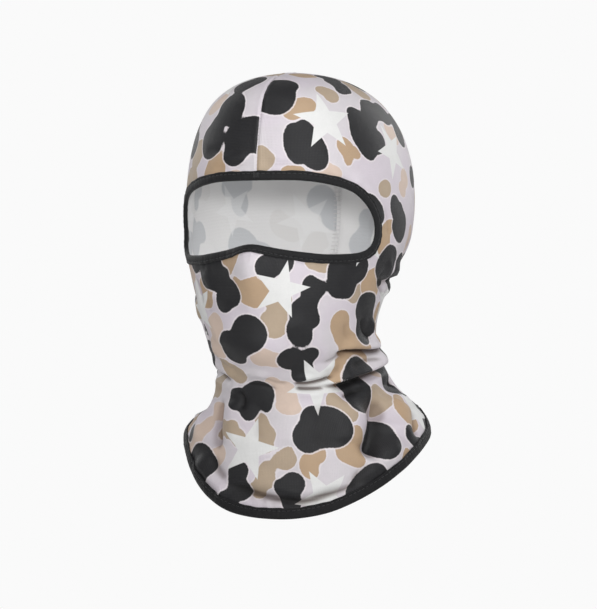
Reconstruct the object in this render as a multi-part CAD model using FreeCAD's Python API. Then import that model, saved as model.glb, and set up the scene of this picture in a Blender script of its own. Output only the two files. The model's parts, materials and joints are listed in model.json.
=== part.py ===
import FreeCAD, Part
import math, os
from FreeCAD import Vector

# Knitted full-head balaclava, worn shape.
# Axes: the face looks along -Y, the wearer's left is +X, up is +Z.
# Origin: on the sagittal plane, at the level of the lowest point of the hem.
#
# A place on the knit is (angle, row): the angle round the head in radians (0 = front,
# + = wearer's left) and the fractional row of SECTIONS, which counts downward.

os.makedirs("parts", exist_ok=True)

# ---------------------------------------------------------------- dimensions, mm
PANEL_T = 0.8            # knit thickness
CROWN_ROW = 0.20         # row at the rim of the small flat disc on the crown

BIND_LEAF = 0.95         # one leaf of a folded binding
BIND_GAP = 0.18          # clearance between a leaf and the knit
EYE_BIND_W = 6.4         # width of the binding round the face opening
HEM_BIND_W = 7.6         # width of the binding round the hem
FOLD_IN = 1.0            # how far the fold of a binding stands past the cut edge
INNER_SHORT = 0.8        # how much shorter the inner leaf is than the outer
GROOVE_IN = 1.9          # stitch groove, in from the end of the outer leaf

THREAD_R = 0.24          # sewing thread radius
STITCH_PITCH = 3.6       # topstitch pitch
STITCH_LEN = 2.5         # visible length of one topstitch

BARTACK_BARS = 6
BARTACK_PITCH = 0.62
BARTACK_R = 0.2          # thread radius
BARTACK_RISE = 0.22      # thread centre above the nominal face of the binding
BARTACK_START = 0.2      # start of each bar, in from the cut edge
EYE_BARTACK_END = 3.0
HEM_BARTACK_END = 4.2

SEAM_PITCH = 3.4         # pitch of the overlock bars on the centre seam
SEAM_START = 1.0         # first bar, from the front end of the seam
SEAM_BAR = 3.6           # extent of one overlock bar across the seam
SEAM_LEAN = 0.55         # shift of each bar end along the seam
SEAM_CLEAR = 0.02        # clearance between the bars and the knit
SEAM_CROWN_ROW = CROWN_ROW + 0.05
SEAM_FRONT_ROWS = 0.45   # rows from the face opening up to the seam end
SEAM_BACK_ROWS = 0.75    # rows from the hem up to the seam end
SEAM_FRONT_STEPS = 160
SEAM_BACK_STEPS = 240

LABEL_LEN = 28.0         # care label, from its hinge to its free edge, less LABEL_GAP
LABEL_H = 18.0
LABEL_T = 0.45
LABEL_EDGE_R = 0.18
LABEL_GAP = 0.6          # hinge line to the sewn edge
LABEL_REST = 24.0        # degrees that the label leans toward the face
LABEL_Y = 52.6           # hinge line, inside the back of the neck
LABEL_Z = 122.0          # mid height
TACK_COUNT = 5
TACK_PITCH = 3.6
TACK_LEN = 2.2
TACK_MARGIN = 1.4        # bottom of the label to the first tack
TACK_BEHIND = 1.1        # tacks behind the hinge line

# Resolution of the surfaces; the mosaic counts split each skin into faces.
SKIN_COLUMNS = 72
SKIN_ROWS = 46
MOSAIC_ROUND = 8
MOSAIC_DOWN = 5
EYE_POINTS = 120
EYE_SUBSTEPS = 8         # places per table entry of the face opening
HEM_POINTS = 150
HEM_SAMPLES = 720

# Cone that cuts the face opening.
CONE_APEX = Vector(0, 50, 211)
CONE_FRONT_Y = -150.0
CONE_BACK_Y = 10.0
CONE_PIECES = 20

# Horizontal sections of the hood from crown to below the hem:
# height, half width, front y, back y, y of the widest point,
# squareness of the front half, squareness of the back half.
SECTIONS = [
    (320.6,   0.0,   -2.0,   -2.0,  -2.0, 2.10, 2.0),
    (317.8,  24.0,  -34.0,   28.0,  -1.0, 2.10, 2.0),
    (310.7,  43.0,  -62.5,   55.0,   1.0, 2.15, 2.0),
    (298.3,  59.5,  -81.0,   75.5,   4.0, 2.20, 2.0),
    (280.0,  71.5,  -90.5,   90.0,   8.0, 2.20, 2.0),
    (258.0,  78.6,  -96.0,   97.5,  11.0, 2.20, 2.0),
    (235.0,  81.6,  -98.0,   98.5,  10.5, 2.20, 2.0),
    (212.0,  81.8,  -99.5,   96.0,   5.5, 2.20, 2.0),
    (190.0,  78.8, -101.5,   87.5,  -5.5, 2.10, 2.0),
    (170.0,  71.5, -103.5,   74.0, -18.0, 2.00, 2.0),
    (150.0,  65.0, -102.5,   62.0, -24.5, 2.00, 2.0),
    (132.0,  60.8, -100.0,   56.0, -22.0, 2.00, 2.0),
    (116.0,  59.6,  -94.0,   56.0,  -8.0, 2.00, 2.0),
    (102.0,  61.5,  -82.0,   61.0,  13.0, 2.00, 2.0),
    ( 88.0,  69.5,  -75.0,   69.5,  22.0, 2.00, 2.0),
    ( 73.0,  83.5,  -74.0,   79.5,  26.5, 2.00, 2.0),
    ( 57.0,  92.0,  -75.5,   87.0,  25.5, 2.00, 2.0),
    ( 38.0,  96.5,  -77.5,   91.0,  22.0, 2.00, 2.0),
    ( 16.0,  98.5,  -79.5,   94.0,  19.0, 2.00, 2.0),
    ( -8.0,  99.5,  -81.0,   96.0,  17.0, 2.00, 2.0),
    (-32.0, 100.0,  -82.0,   97.0,  16.0, 2.00, 2.0),
]

# Nose and chin under the stretched knit: push forward, x spread, height,
# spread below, spread above.
NOSE = (13.0, 17.0, 178.0, 26.0, 20.0)
CHIN = (4.0, 22.0, 119.0, 13.0, 13.0)

# Hem: degrees round the body, height of the lower edge.  The bib hangs lowest
# in front, a little to the wearer's left.
HEM = [(-180, 83.0), (-150, 82.0), (-125, 80.0), (-105, 75.0), (-90, 68.0),
       (-78, 61.0), (-66, 53.6), (-53, 44.6), (-44, 32.6), (-35, 20.8),
       (-27, 12.0), (-18, 4.9), (-8, 1.3), (4, 0.0), (14, 0.8), (26, 4.6),
       (38, 12.2), (50, 21.6), (62, 32.4), (74, 42.6), (86, 51.4),
       (98, 60.0), (112, 69.0), (130, 76.0), (152, 81.0)]

# Cut edge of the face opening, from top centre to bottom centre:
# degrees away from the front, height.
EYE_LEFT = [(0, 237.8), (10, 237.8), (20, 237.5), (30, 236.0), (40, 233.2),
            (47, 229.8), (52, 225.0), (57, 218.2), (60.8, 210.3), (62.6, 203.0),
            (63.2, 196.6), (62.4, 191.6), (60.0, 188.2), (56.0, 186.0),
            (51, 185.0), (43, 184.4), (35, 184.4), (28, 185.2), (20, 186.4),
            (13, 187.9), (7, 189.6), (3, 190.8), (0, 191.2)]
# The wearer's right is a little squarer at its outer end.
EYE_RIGHT = [(0, 237.8), (10, 237.8), (20, 237.5), (30, 236.0), (40, 233.6),
             (47, 231.2), (53, 228.0), (57.6, 223.4), (61.0, 216.6), (62.8, 208.6),
             (63.4, 200.4), (63.0, 193.6), (60.8, 188.8), (56.6, 185.8),
             (51, 184.8), (43, 184.4), (35, 184.4), (28, 185.2), (20, 186.4),
             (13, 187.9), (7, 189.6), (3, 190.8), (0, 191.2)]


# ---------------------------------------------------------------- shape of the head
def pad_sections():
    """SECTIONS with one more at each end, so that the spline has neighbours."""
    z, half_width, front_y, back_y, widest_y, front_square, back_square = SECTIONS[1]
    # Past the crown the sections carry on down the opposite side.
    above = (z, -half_width, back_y, front_y, 2.0 * SECTIONS[0][4] - widest_y,
             front_square, back_square)
    below = tuple(2.0 * last - previous for last, previous in zip(SECTIONS[-1], SECTIONS[-2]))
    return [above] + SECTIONS + [below]


PADDED = pad_sections()


def catmull(before, start, end, after, f):
    """Catmull-Rom value at fraction f between start and end."""
    return 0.5 * (2.0 * start + (end - before) * f
                  + (2.0 * before - 5.0 * start + 4.0 * end - after) * f * f
                  + (3.0 * start - before - 3.0 * end + after) * f ** 3)


def section_at(row):
    i = min(max(int(math.floor(row)), 0), len(SECTIONS) - 2)
    return [catmull(*column, row - i) for column in zip(*PADDED[i:i + 4])]


def skin(angle, row):
    """Point on the outer surface of the knit."""
    z, half_width, front_y, back_y, widest_y, front_square, back_square = section_at(row)
    sine, cosine = math.sin(angle), math.cos(angle)
    if cosine > 0:
        square, end_y = front_square, front_y
    else:
        square, end_y = back_square, back_y
    x = half_width * math.copysign(abs(sine) ** (2.0 / square), sine)
    y = widest_y + (end_y - widest_y) * abs(cosine) ** (2.0 / square)
    if y < 0:
        for push, x_spread, height, below, above in (NOSE, CHIN):
            rise = z - height
            z_spread = below if rise < 0 else above
            y -= push * math.exp(-(x / x_spread) ** 2) * math.exp(-(rise / z_spread) ** 2)
    return Vector(x, y, z)


def frame_at(angle, row, step=1e-3):
    """Point, derivative round, derivative down, outward unit normal."""
    point = skin(angle, row)
    around = (skin(angle + step, row) - skin(angle - step, row)) * (0.5 / step)
    down = (skin(angle, row + step) - skin(angle, row - step)) * (0.5 / step)
    normal = down.cross(around)
    normal.normalize()
    # Outward is away from the vertical axis, and upward too on the crown.
    outward = Vector(point.x, point.y - 5.0, point.z - 200.0 if point.z > 250 else 0.0)
    if normal.dot(outward) < 0:
        normal = normal * -1.0
    return point, around, down, normal


def off_skin(angle, row, height):
    point, _, _, normal = frame_at(angle, row)
    return point + normal * height


def row_of_height(z):
    """Row at height z, by bisection."""
    low, high = 0.0, float(len(SECTIONS) - 1)
    for _ in range(50):
        middle = 0.5 * (low + high)
        if section_at(middle)[0] > z:
            low = middle
        else:
            high = middle
    return 0.5 * (low + high)


def walk(angle, row, direction, distance):
    """Place reached by moving along the skin, first heading along direction."""
    steps = max(1, int(abs(distance) + 0.999))
    heading = Vector(direction)
    for _ in range(steps):
        _, around, down, normal = frame_at(angle, row)
        heading = heading - normal * heading.dot(normal)
        heading.normalize()
        move = heading * (distance / steps)
        # Solve move = around * (angle change) + down * (row change).
        around_sq, mixed, down_sq = around.dot(around), around.dot(down), down.dot(down)
        move_around, move_down = move.dot(around), move.dot(down)
        det = around_sq * down_sq - mixed * mixed
        angle += (down_sq * move_around - mixed * move_down) / det
        row += (around_sq * move_down - mixed * move_around) / det
    return angle, row


# ---------------------------------------------------------------- cut edges
def hem_height(degrees):
    """Periodic cubic Hermite curve through the hem table."""
    degrees = (degrees + 180.0) % 360.0 - 180.0
    start = max(i for i in range(len(HEM)) if HEM[i][0] <= degrees)

    def entry(i):
        turns, j = divmod(i, len(HEM))
        return HEM[j][0] + 360.0 * turns, HEM[j][1]

    (x0, y0), (x1, y1), (x2, y2), (x3, y3) = (entry(start + k) for k in (-1, 0, 1, 2))
    f = (degrees - x1) / (x2 - x1)
    slope_start = (y2 - y0) / (x2 - x0) * (x2 - x1)
    slope_end = (y3 - y1) / (x3 - x1) * (x2 - x1)
    return ((2 * f ** 3 - 3 * f ** 2 + 1) * y1 + (f ** 3 - 2 * f ** 2 + f) * slope_start
            + (-2 * f ** 3 + 3 * f ** 2) * y2 + (f ** 3 - f ** 2) * slope_end)


def hem_cut_row(angle):
    return row_of_height(hem_height(math.degrees(angle)) + FOLD_IN)


def hem_path():
    path = []
    for i in range(HEM_SAMPLES):
        angle = -math.pi + 2.0 * math.pi * i / HEM_SAMPLES
        path.append((angle, hem_cut_row(angle)))
    # The closing place lies a full turn on, so that the angle never jumps.
    return path + [(path[0][0] + 2.0 * math.pi, path[0][1])]


def eye_path():
    control = ([(math.radians(degrees), z) for degrees, z in EYE_LEFT]
               + [(-math.radians(degrees), z) for degrees, z in reversed(EYE_RIGHT[1:-1])])
    path = []
    for i in range(len(control)):
        near = [control[(i + k) % len(control)] for k in (-1, 0, 1, 2)]
        for k in range(EYE_SUBSTEPS):
            angle, z = (catmull(*column, k / EYE_SUBSTEPS) for column in zip(*near))
            path.append((angle, row_of_height(z)))
    return path + path[:1]


class Ring:
    """A cut edge as evenly spaced places; path is closed, its end repeating its start."""

    def __init__(self, path, count):
        points = [skin(*place) for place in path]
        gaps = [(b - a).Length for a, b in zip(points, points[1:])]
        self.length = sum(gaps)
        self.places = []
        i, passed = 0, 0.0
        for k in range(count):
            target = self.length * k / count
            while passed + gaps[i] < target:
                passed += gaps[i]
                i += 1
            f = (target - passed) / gaps[i]
            self.places.append(tuple(a + f * (b - a) for a, b in zip(path[i], path[i + 1])))
        # Both rings start at a point where the knit lies above the cut edge.
        self.sign = 1.0
        start = self.places[0]
        trial = walk(*start, self.into_knit(start, self.tangent(0)), 3.0)
        if skin(*trial).z <= skin(*start).z:
            self.sign = -1.0

    def tangent(self, i):
        along = skin(*self.places[(i + 1) % len(self.places)]) - skin(*self.places[i - 1])
        along.normalize()
        return along

    def into_knit(self, place, along):
        return frame_at(*place)[3].cross(along) * self.sign

    def point(self, distance, inset, height):
        """Point at a distance along the edge, inset into the knit, height off its face."""
        count = len(self.places)
        position = (distance / self.length) * count
        i = int(math.floor(position)) % count
        f = position - math.floor(position)
        angle, row = self.places[i]
        next_angle, next_row = self.places[(i + 1) % count]
        angle_step = math.remainder(next_angle - angle, 2 * math.pi)
        row_step = next_row - row
        angle += f * angle_step
        row += f * row_step
        along = (skin(angle + angle_step * 0.5, row + row_step * 0.5)
                 - skin(angle - angle_step * 0.5, row - row_step * 0.5))
        along.normalize()
        inner_place = walk(angle, row, self.into_knit((angle, row), along), inset)
        return off_skin(*inner_place, height)


# ---------------------------------------------------------------- surfaces and solids
def closed_curve(points):
    curve = Part.BSplineCurve()
    curve.interpolate(Points=points, PeriodicFlag=True,
                      Parameters=[float(i) for i in range(len(points) + 1)])
    return curve


def skin_surface(grid):
    """Cubic surface through a grid of points: closed round, open down."""
    round_curves = [closed_curve(points) for points in grid]
    first = round_curves[0]
    poles = []
    for column in zip(*(curve.getPoles() for curve in round_curves)):
        down_curve = Part.BSplineCurve()
        down_curve.interpolate(Points=list(column),
                               Parameters=[float(j) for j in range(len(column))])
        poles.append(down_curve.getPoles())
    surface = Part.BSplineSurface()
    surface.buildFromPolesMultsKnots(poles, first.getMultiplicities(),
                                     down_curve.getMultiplicities(), first.getKnots(),
                                     down_curve.getKnots(), True, False, 3, 3)
    return surface


def torus_surface(net):
    """Closed cubic surface round a ring; net[i] is one cross-section."""
    around, across = len(net) + 1, len(net[0]) + 1
    surface = Part.BSplineSurface()
    surface.buildFromPolesMultsKnots(net, [1] * around, [1] * across,
                                     [float(i) for i in range(around)],
                                     [float(i) for i in range(across)], True, True, 3, 3)
    return surface


def make_solid(faces):
    shell = Part.Shell(faces) if len(faces) == 1 else Part.makeShell(faces)
    if not shell.isClosed():
        shell.sewShape()
    # Sewing can leave a compound round the shell.
    solid = Part.Solid(shell if shell.ShapeType == "Shell" else shell.Shells[0])
    if solid.Volume < 0:
        solid.reverse()
    return solid


def flat_face(edges):
    return Part.Face(Part.Wire(edges))


def ruled_faces(first_edges, second_edges):
    return [Part.makeRuledSurface(a, b) for a, b in zip(first_edges, second_edges)]


def stitch(start, end, radius=THREAD_R):
    """One visible stitch: a short thread with round ends."""
    along = end - start
    thread = Part.makeCylinder(radius, along.Length, start, along)
    ends = [Part.makeSphere(radius, start), Part.makeSphere(radius, end)]
    return thread.fuse(ends).removeSplitter()


def save(shape, node):
    shape.exportStep("parts/%s.step" % node)


# ---------------------------------------------------------------- hood panel
def skin_grid(columns, depth):
    """Points at a depth below the outer surface; columns are (angle, hem row)."""
    # The crown ring drops straight down, so that its disc stays flat.
    grid = [[skin(angle, CROWN_ROW) - Vector(0, 0, depth) for angle, _ in columns]]
    for j in range(1, SKIN_ROWS):
        f = j / (SKIN_ROWS - 1.0)
        grid.append([off_skin(angle, CROWN_ROW + f * (hem_row - CROWN_ROW), -depth)
                     for angle, hem_row in columns])
    return grid


def mosaic(surface):
    """The surface cut into faces, with the edges along its crown and its hem."""
    u0, u1, v0, v1 = surface.bounds()
    u_cuts = [u0 + (u1 - u0) * k / MOSAIC_ROUND for k in range(MOSAIC_ROUND + 1)]
    v_cuts = [v0 + (v1 - v0) * k / MOSAIC_DOWN for k in range(MOSAIC_DOWN + 1)]
    faces, crown_edges, hem_edges = [], [], []
    for i in range(MOSAIC_ROUND):
        for j in range(MOSAIC_DOWN):
            patch = surface.copy()
            patch.segment(u_cuts[i], u_cuts[i + 1], v_cuts[j], v_cuts[j + 1])
            faces.append(patch.toShape())
            if j == 0:
                crown_edges.append(patch.vIso(v_cuts[0]).toShape())
            if j == MOSAIC_DOWN - 1:
                hem_edges.append(patch.vIso(v_cuts[-1]).toShape())
    return faces, crown_edges, hem_edges


def cone_section(ring, section_y):
    """Edges where the rays from the apex through the ring meet a plane of constant y."""
    points = []
    for place in ring.places:
        ray = skin(*place) - CONE_APEX
        point = CONE_APEX + ray * ((section_y - CONE_APEX.y) / ray.y)
        points.append(Vector(point.x, section_y, point.z))
    curve = closed_curve(points)
    span = EYE_POINTS / CONE_PIECES
    edges = []
    for k in range(CONE_PIECES):
        piece = curve.copy()
        piece.segment(span * k, span * (k + 1))
        edges.append(piece.toShape())
    return edges


def hood_panel(eye_ring):
    angles = [-math.pi + 2.0 * math.pi * i / SKIN_COLUMNS for i in range(SKIN_COLUMNS)]
    columns = [(angle, hem_cut_row(angle)) for angle in angles]
    outer, outer_crown, outer_hem = mosaic(skin_surface(skin_grid(columns, 0.0)))
    inner, inner_crown, inner_hem = mosaic(skin_surface(skin_grid(columns, PANEL_T)))
    panel = make_solid(outer + inner + ruled_faces(outer_hem, inner_hem)
                       + [flat_face(outer_crown), flat_face(inner_crown)])
    front = cone_section(eye_ring, CONE_FRONT_Y)
    back = cone_section(eye_ring, CONE_BACK_Y)
    cutter = make_solid(ruled_faces(front, back) + [flat_face(front), flat_face(back)])
    return panel.cut(cutter).Solids[0]


# ---------------------------------------------------------------- bindings
def binding_profile(width):
    """Closed C section: (distance into the knit from the cut edge, height off its face)."""
    gap, leaf, knit = BIND_GAP, BIND_LEAF, PANEL_T
    reach = width - FOLD_IN              # end of the outer leaf
    inner_reach = reach - INNER_SHORT    # end of the inner leaf
    middle = 0.45 * reach
    top = gap + leaf                     # outside of the outer leaf
    under = -knit - gap                  # knit side of the inner leaf
    bottom = under - leaf                # head side of the inner leaf
    return [
        # end and outside of the outer leaf
        (reach - 0.1, gap + 0.02), (reach + 0.15, gap + 0.45 * leaf), (reach - 0.1, top),
        (reach - 1.2, top + 0.08), (reach - GROOVE_IN, top - 0.20), (reach - 2.6, top + 0.10),
        (middle, top + 0.18), (0.5, top + 0.15),
        # outside of the fold
        (-1.0, gap + 0.85 * leaf), (-1.7, -0.5 * knit), (-1.0, under - 0.85 * leaf),
        # head side and end of the inner leaf
        (0.5, bottom - 0.1), (middle, bottom - 0.1), (inner_reach - 0.5, bottom),
        (inner_reach + 0.1, under - 0.5 * leaf),
        # knit side, from the inner leaf round the fold to the outer leaf
        (inner_reach - 0.5, under), (middle, under), (0.6, under), (-0.7, under),
        (-1.0, -0.75 * knit), (-1.0, -0.25 * knit), (-0.7, gap), (0.6, gap), (middle, gap),
    ]


def binding(ring, width):
    profile = binding_profile(width)
    net = []
    for i, place in enumerate(ring.places):
        inward = ring.into_knit(place, ring.tangent(i))
        net.append([off_skin(*walk(*place, inward, inset), height)
                    for inset, height in profile])
    return make_solid([torus_surface(net).toShape()])


def topstitch(ring, width):
    """Stitches all round a binding, in its groove."""
    inset = width - FOLD_IN - GROOVE_IN
    height = BIND_GAP + BIND_LEAF
    count = int(round(ring.length / STITCH_PITCH))
    pitch = ring.length / count
    return Part.makeCompound([
        stitch(ring.point(k * pitch, inset, height),
               ring.point(k * pitch + STITCH_LEN, inset, height))
        for k in range(count)])


def bartack(ring, end):
    """Close bars across a binding, centred on the start of the ring."""
    height = BIND_GAP + BIND_LEAF + BARTACK_RISE
    bars = []
    for k in range(BARTACK_BARS):
        distance = (k - (BARTACK_BARS - 1) / 2.0) * BARTACK_PITCH % ring.length
        bars.append(stitch(ring.point(distance, BARTACK_START, height),
                           ring.point(distance, end, height), BARTACK_R))
    return Part.makeCompound(bars)


# ---------------------------------------------------------------- centre seam
def centre_seam():
    """Overlock bars inside the knit, from the face opening over the crown to the back hem."""
    front_row = row_of_height(EYE_LEFT[0][1]) - SEAM_FRONT_ROWS
    back_row = row_of_height(hem_height(180.0)) - SEAM_BACK_ROWS
    path = [(0.0, front_row + (SEAM_CROWN_ROW - front_row) * k / SEAM_FRONT_STEPS)
            for k in range(SEAM_FRONT_STEPS)]
    path += [(math.pi, SEAM_CROWN_ROW + (back_row - SEAM_CROWN_ROW) * k / SEAM_BACK_STEPS)
             for k in range(SEAM_BACK_STEPS + 1)]
    points = [off_skin(*place, -PANEL_T - THREAD_R - SEAM_CLEAR) for place in path]
    passed, target, bars = 0.0, SEAM_START, []
    for start, end in zip(points, points[1:]):
        along = end - start
        length = along.Length
        half_bar = Vector(SEAM_BAR * 0.5, 0, 0) + along * (SEAM_LEAN / length)
        while passed + length >= target:
            centre = start + along * ((target - passed) / length)
            bars.append(stitch(centre - half_bar, centre + half_bar))
            target += SEAM_PITCH
        passed += length
    return Part.makeCompound(bars)


# ---------------------------------------------------------------- care label
def care_label():
    label = Part.makeBox(LABEL_LEN, LABEL_T, LABEL_H,
                         Vector(LABEL_GAP, -LABEL_T / 2.0, -LABEL_H / 2.0))
    long_edges = [edge for edge in label.Edges
                  if abs(edge.Vertexes[0].Point.x - edge.Vertexes[-1].Point.x) > 5.0]
    label = label.makeFillet(LABEL_EDGE_R, long_edges)
    label.rotate(Vector(0, 0, 0), Vector(0, 0, 1), -LABEL_REST)
    label.translate(Vector(0, LABEL_Y, LABEL_Z))
    return label


def care_label_stitches():
    """A vertical line of tacks behind the hinge of the label."""
    y = LABEL_Y + TACK_BEHIND
    tacks = []
    for k in range(TACK_COUNT):
        z = LABEL_Z - LABEL_H / 2.0 + TACK_MARGIN + k * TACK_PITCH
        tacks.append(stitch(Vector(0, y, z), Vector(0, y, z + TACK_LEN)))
    return Part.makeCompound(tacks)


# ---------------------------------------------------------------- build
eye_ring = Ring(eye_path(), EYE_POINTS)    # starts at top centre
hem_ring = Ring(hem_path(), HEM_POINTS)    # starts at back centre

save(hood_panel(eye_ring), "hood_panel")
for name, ring, width, bartack_end in (
        ("eye_binding", eye_ring, EYE_BIND_W, EYE_BARTACK_END),
        ("hem_binding", hem_ring, HEM_BIND_W, HEM_BARTACK_END)):
    save(binding(ring, width), name)
    save(topstitch(ring, width), name + "_topstitch")
    save(bartack(ring, bartack_end), name + "_bartack")
save(centre_seam(), "centre_seam_overlock")
save(care_label(), "care_label")
save(care_label_stitches(), "care_label_stitches")
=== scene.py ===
import bpy, json, math
import numpy as np
from mathutils import Vector, Matrix


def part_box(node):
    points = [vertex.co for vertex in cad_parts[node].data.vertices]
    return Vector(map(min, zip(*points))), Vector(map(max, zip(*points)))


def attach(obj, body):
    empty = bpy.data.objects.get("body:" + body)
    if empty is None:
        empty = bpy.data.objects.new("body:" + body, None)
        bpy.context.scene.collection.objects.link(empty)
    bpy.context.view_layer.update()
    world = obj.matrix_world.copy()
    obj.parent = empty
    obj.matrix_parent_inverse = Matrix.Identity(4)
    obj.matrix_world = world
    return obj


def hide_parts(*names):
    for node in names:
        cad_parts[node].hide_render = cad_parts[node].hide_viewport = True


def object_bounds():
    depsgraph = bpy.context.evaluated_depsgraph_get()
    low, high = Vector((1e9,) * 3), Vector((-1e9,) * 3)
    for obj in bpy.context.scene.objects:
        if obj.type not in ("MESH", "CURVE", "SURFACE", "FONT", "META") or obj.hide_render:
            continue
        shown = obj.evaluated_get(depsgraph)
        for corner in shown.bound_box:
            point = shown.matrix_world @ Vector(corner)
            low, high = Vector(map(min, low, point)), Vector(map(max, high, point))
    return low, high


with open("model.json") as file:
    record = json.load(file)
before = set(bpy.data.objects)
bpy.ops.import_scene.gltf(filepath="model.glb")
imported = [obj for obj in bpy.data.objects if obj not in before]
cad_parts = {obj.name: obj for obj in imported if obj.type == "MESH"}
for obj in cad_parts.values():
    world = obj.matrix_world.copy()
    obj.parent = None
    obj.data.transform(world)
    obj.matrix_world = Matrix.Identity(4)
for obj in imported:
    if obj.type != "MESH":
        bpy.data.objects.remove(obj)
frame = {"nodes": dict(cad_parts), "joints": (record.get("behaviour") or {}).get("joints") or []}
CAD_LO, CAD_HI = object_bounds()
BOX = {n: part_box(n) for n in frame["nodes"]}
RNG = np.random.RandomState(20261)
MM = 0.001

# ------------------------------------------------------------------
# The worn shape, in millimetres: the same sections as the CAD skin.
# height, half width, front y, back y, y of widest point, squareness
ROWS = np.array([
    (320.6, 0.0, -2.0, -2.0, -2.0, 2.10, 2.0),
    (317.8, 24.0, -34.0, 28.0, -1.0, 2.10, 2.0),
    (310.7, 43.0, -62.5, 55.0, 1.0, 2.15, 2.0),
    (298.3, 59.5, -81.0, 75.5, 4.0, 2.20, 2.0),
    (280.0, 71.5, -90.5, 90.0, 8.0, 2.20, 2.0),
    (258.0, 78.6, -96.0, 97.5, 11.0, 2.20, 2.0),
    (235.0, 81.6, -98.0, 98.5, 10.5, 2.20, 2.0),
    (212.0, 81.8, -99.5, 96.0, 5.5, 2.20, 2.0),
    (190.0, 78.8, -101.5, 87.5, -5.5, 2.10, 2.0),
    (170.0, 71.5, -103.5, 74.0, -18.0, 2.00, 2.0),
    (150.0, 65.0, -102.5, 62.0, -24.5, 2.00, 2.0),
    (132.0, 60.8, -100.0, 56.0, -22.0, 2.00, 2.0),
    (116.0, 59.6, -94.0, 56.0, -8.0, 2.00, 2.0),
    (102.0, 61.5, -82.0, 61.0, 13.0, 2.00, 2.0),
    (88.0, 69.5, -75.0, 69.5, 22.0, 2.00, 2.0),
    (73.0, 83.5, -74.0, 79.5, 26.5, 2.00, 2.0),
    (57.0, 92.0, -75.5, 87.0, 25.5, 2.00, 2.0),
    (38.0, 96.5, -77.5, 91.0, 22.0, 2.00, 2.0),
    (16.0, 98.5, -79.5, 94.0, 19.0, 2.00, 2.0),
    (-8.0, 99.5, -81.0, 96.0, 17.0, 2.00, 2.0),
    (-32.0, 100.0, -82.0, 97.0, 16.0, 2.00, 2.0),
])
NOSE = (13.0, 17.0, 178.0, 26.0, 20.0)
CHIN = (4.0, 22.0, 119.0, 13.0, 13.0)
HEM = np.array([(-180, 83.0), (-150, 82.0), (-125, 80.0), (-105, 75.0), (-90, 68.0),
       (-78, 61.0), (-66, 53.6), (-53, 44.6), (-44, 32.6), (-35, 20.8),
       (-27, 12.0), (-18, 4.9), (-8, 1.3), (4, 0.0), (14, 0.8), (26, 4.6),
       (38, 12.2), (50, 21.6), (62, 32.4), (74, 42.6), (86, 51.4),
       (98, 60.0), (112, 69.0), (130, 76.0), (152, 81.0)], float)
EYE = [(0, 237.8), (10, 237.8), (20, 237.5), (30, 236.0), (40, 233.2),
       (47, 229.8), (52, 225.0), (57, 218.2), (60.8, 210.3), (62.6, 203.0),
       (63.2, 196.6), (62.4, 191.6), (60.0, 188.2), (56.0, 186.0),
       (51, 185.0), (43, 184.4), (35, 184.4), (28, 185.2), (20, 186.4),
       (13, 187.9), (7, 189.6), (3, 190.8), (0, 191.2)]
EYE_RIGHT = [(0, 237.8), (10, 237.8), (20, 237.5), (30, 236.0), (40, 233.6),
             (47, 231.2), (53, 228.0), (57.6, 223.4), (61.0, 216.6), (62.8, 208.6),
             (63.4, 200.4), (63.0, 193.6), (60.8, 188.8), (56.6, 185.8),
             (51, 184.8), (43, 184.4), (35, 184.4), (28, 185.2), (20, 186.4),
             (13, 187.9), (7, 189.6), (3, 190.8), (0, 191.2)]
FOLD_IN = 1.0
KNIT_T = 0.8
CROWN_RING = 0.0
NR = len(ROWS)
_first = ROWS[1].copy()
_first[1] = -ROWS[1][1]
_first[2], _first[3] = ROWS[1][3], ROWS[1][2]
_first[4] = 2 * ROWS[0][4] - ROWS[1][4]
GHOST = np.vstack([_first, ROWS, 2 * ROWS[-1] - ROWS[-2]])


def catmull(p0, p1, p2, p3, f):
    return 0.5 * (2 * p1 + (p2 - p0) * f + (2 * p0 - 5 * p1 + 4 * p2 - p3) * f * f
                  + (3 * p1 - p0 - 3 * p2 + p3) * f ** 3)


def row_at(s):
    s = np.asarray(s, float)
    i = np.clip(np.floor(s).astype(int), 0, NR - 2)
    f = (s - i)[..., None]
    return catmull(GHOST[i], GHOST[i + 1], GHOST[i + 2], GHOST[i + 3], f)


def skin(t, s):
    r = row_at(s)
    z, a, yf, yb, yc, nf, nb = (r[..., k] for k in range(7))
    sn, cs = np.sin(t), np.cos(t)
    n = np.where(cs > 0, nf, nb)
    x = a * np.sign(sn) * np.abs(sn) ** (2 / n)
    c = np.abs(cs) ** (2 / n)
    y = np.where(cs > 0, yc - (yc - yf) * c, yc + (yb - yc) * c)
    front = y < 0
    g = np.zeros_like(y)
    for push, sx, zc, lo, hi in (NOSE, CHIN):
        dz = z - zc
        g += push * np.exp(-(x / sx) ** 2) * np.exp(-(dz / np.where(dz < 0, lo, hi)) ** 2)
    y = np.where(front, y - g, y)
    return np.stack([x, y, z + 0 * x], -1)


def unit(v):
    return v / np.maximum(np.linalg.norm(v, axis=-1, keepdims=True), 1e-12)


def frame_at(t, s, h=1e-3):
    p = skin(t, s)
    s2 = np.maximum(s, 2 * h)
    dt = (skin(t + h, s2) - skin(t - h, s2)) / (2 * h)
    ds = (skin(t, s2 + h) - skin(t, s2 - h)) / (2 * h)
    n = unit(np.cross(ds, dt))
    ref = p - np.array([0, 5.0, 0]) - np.stack([0 * p[..., 0], 0 * p[..., 0],
                                               np.where(p[..., 2] > 250, 200.0, p[..., 2])], -1)
    n = np.where(np.sum(n * ref, -1, keepdims=True) < 0, -n, n)
    return p, dt, ds, n


_sg = np.linspace(0, NR - 1, 4001)
_zg = row_at(_sg)[:, 0]


def s_of_z(z):
    return np.interp(-np.asarray(z, float), -_zg, _sg)


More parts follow.
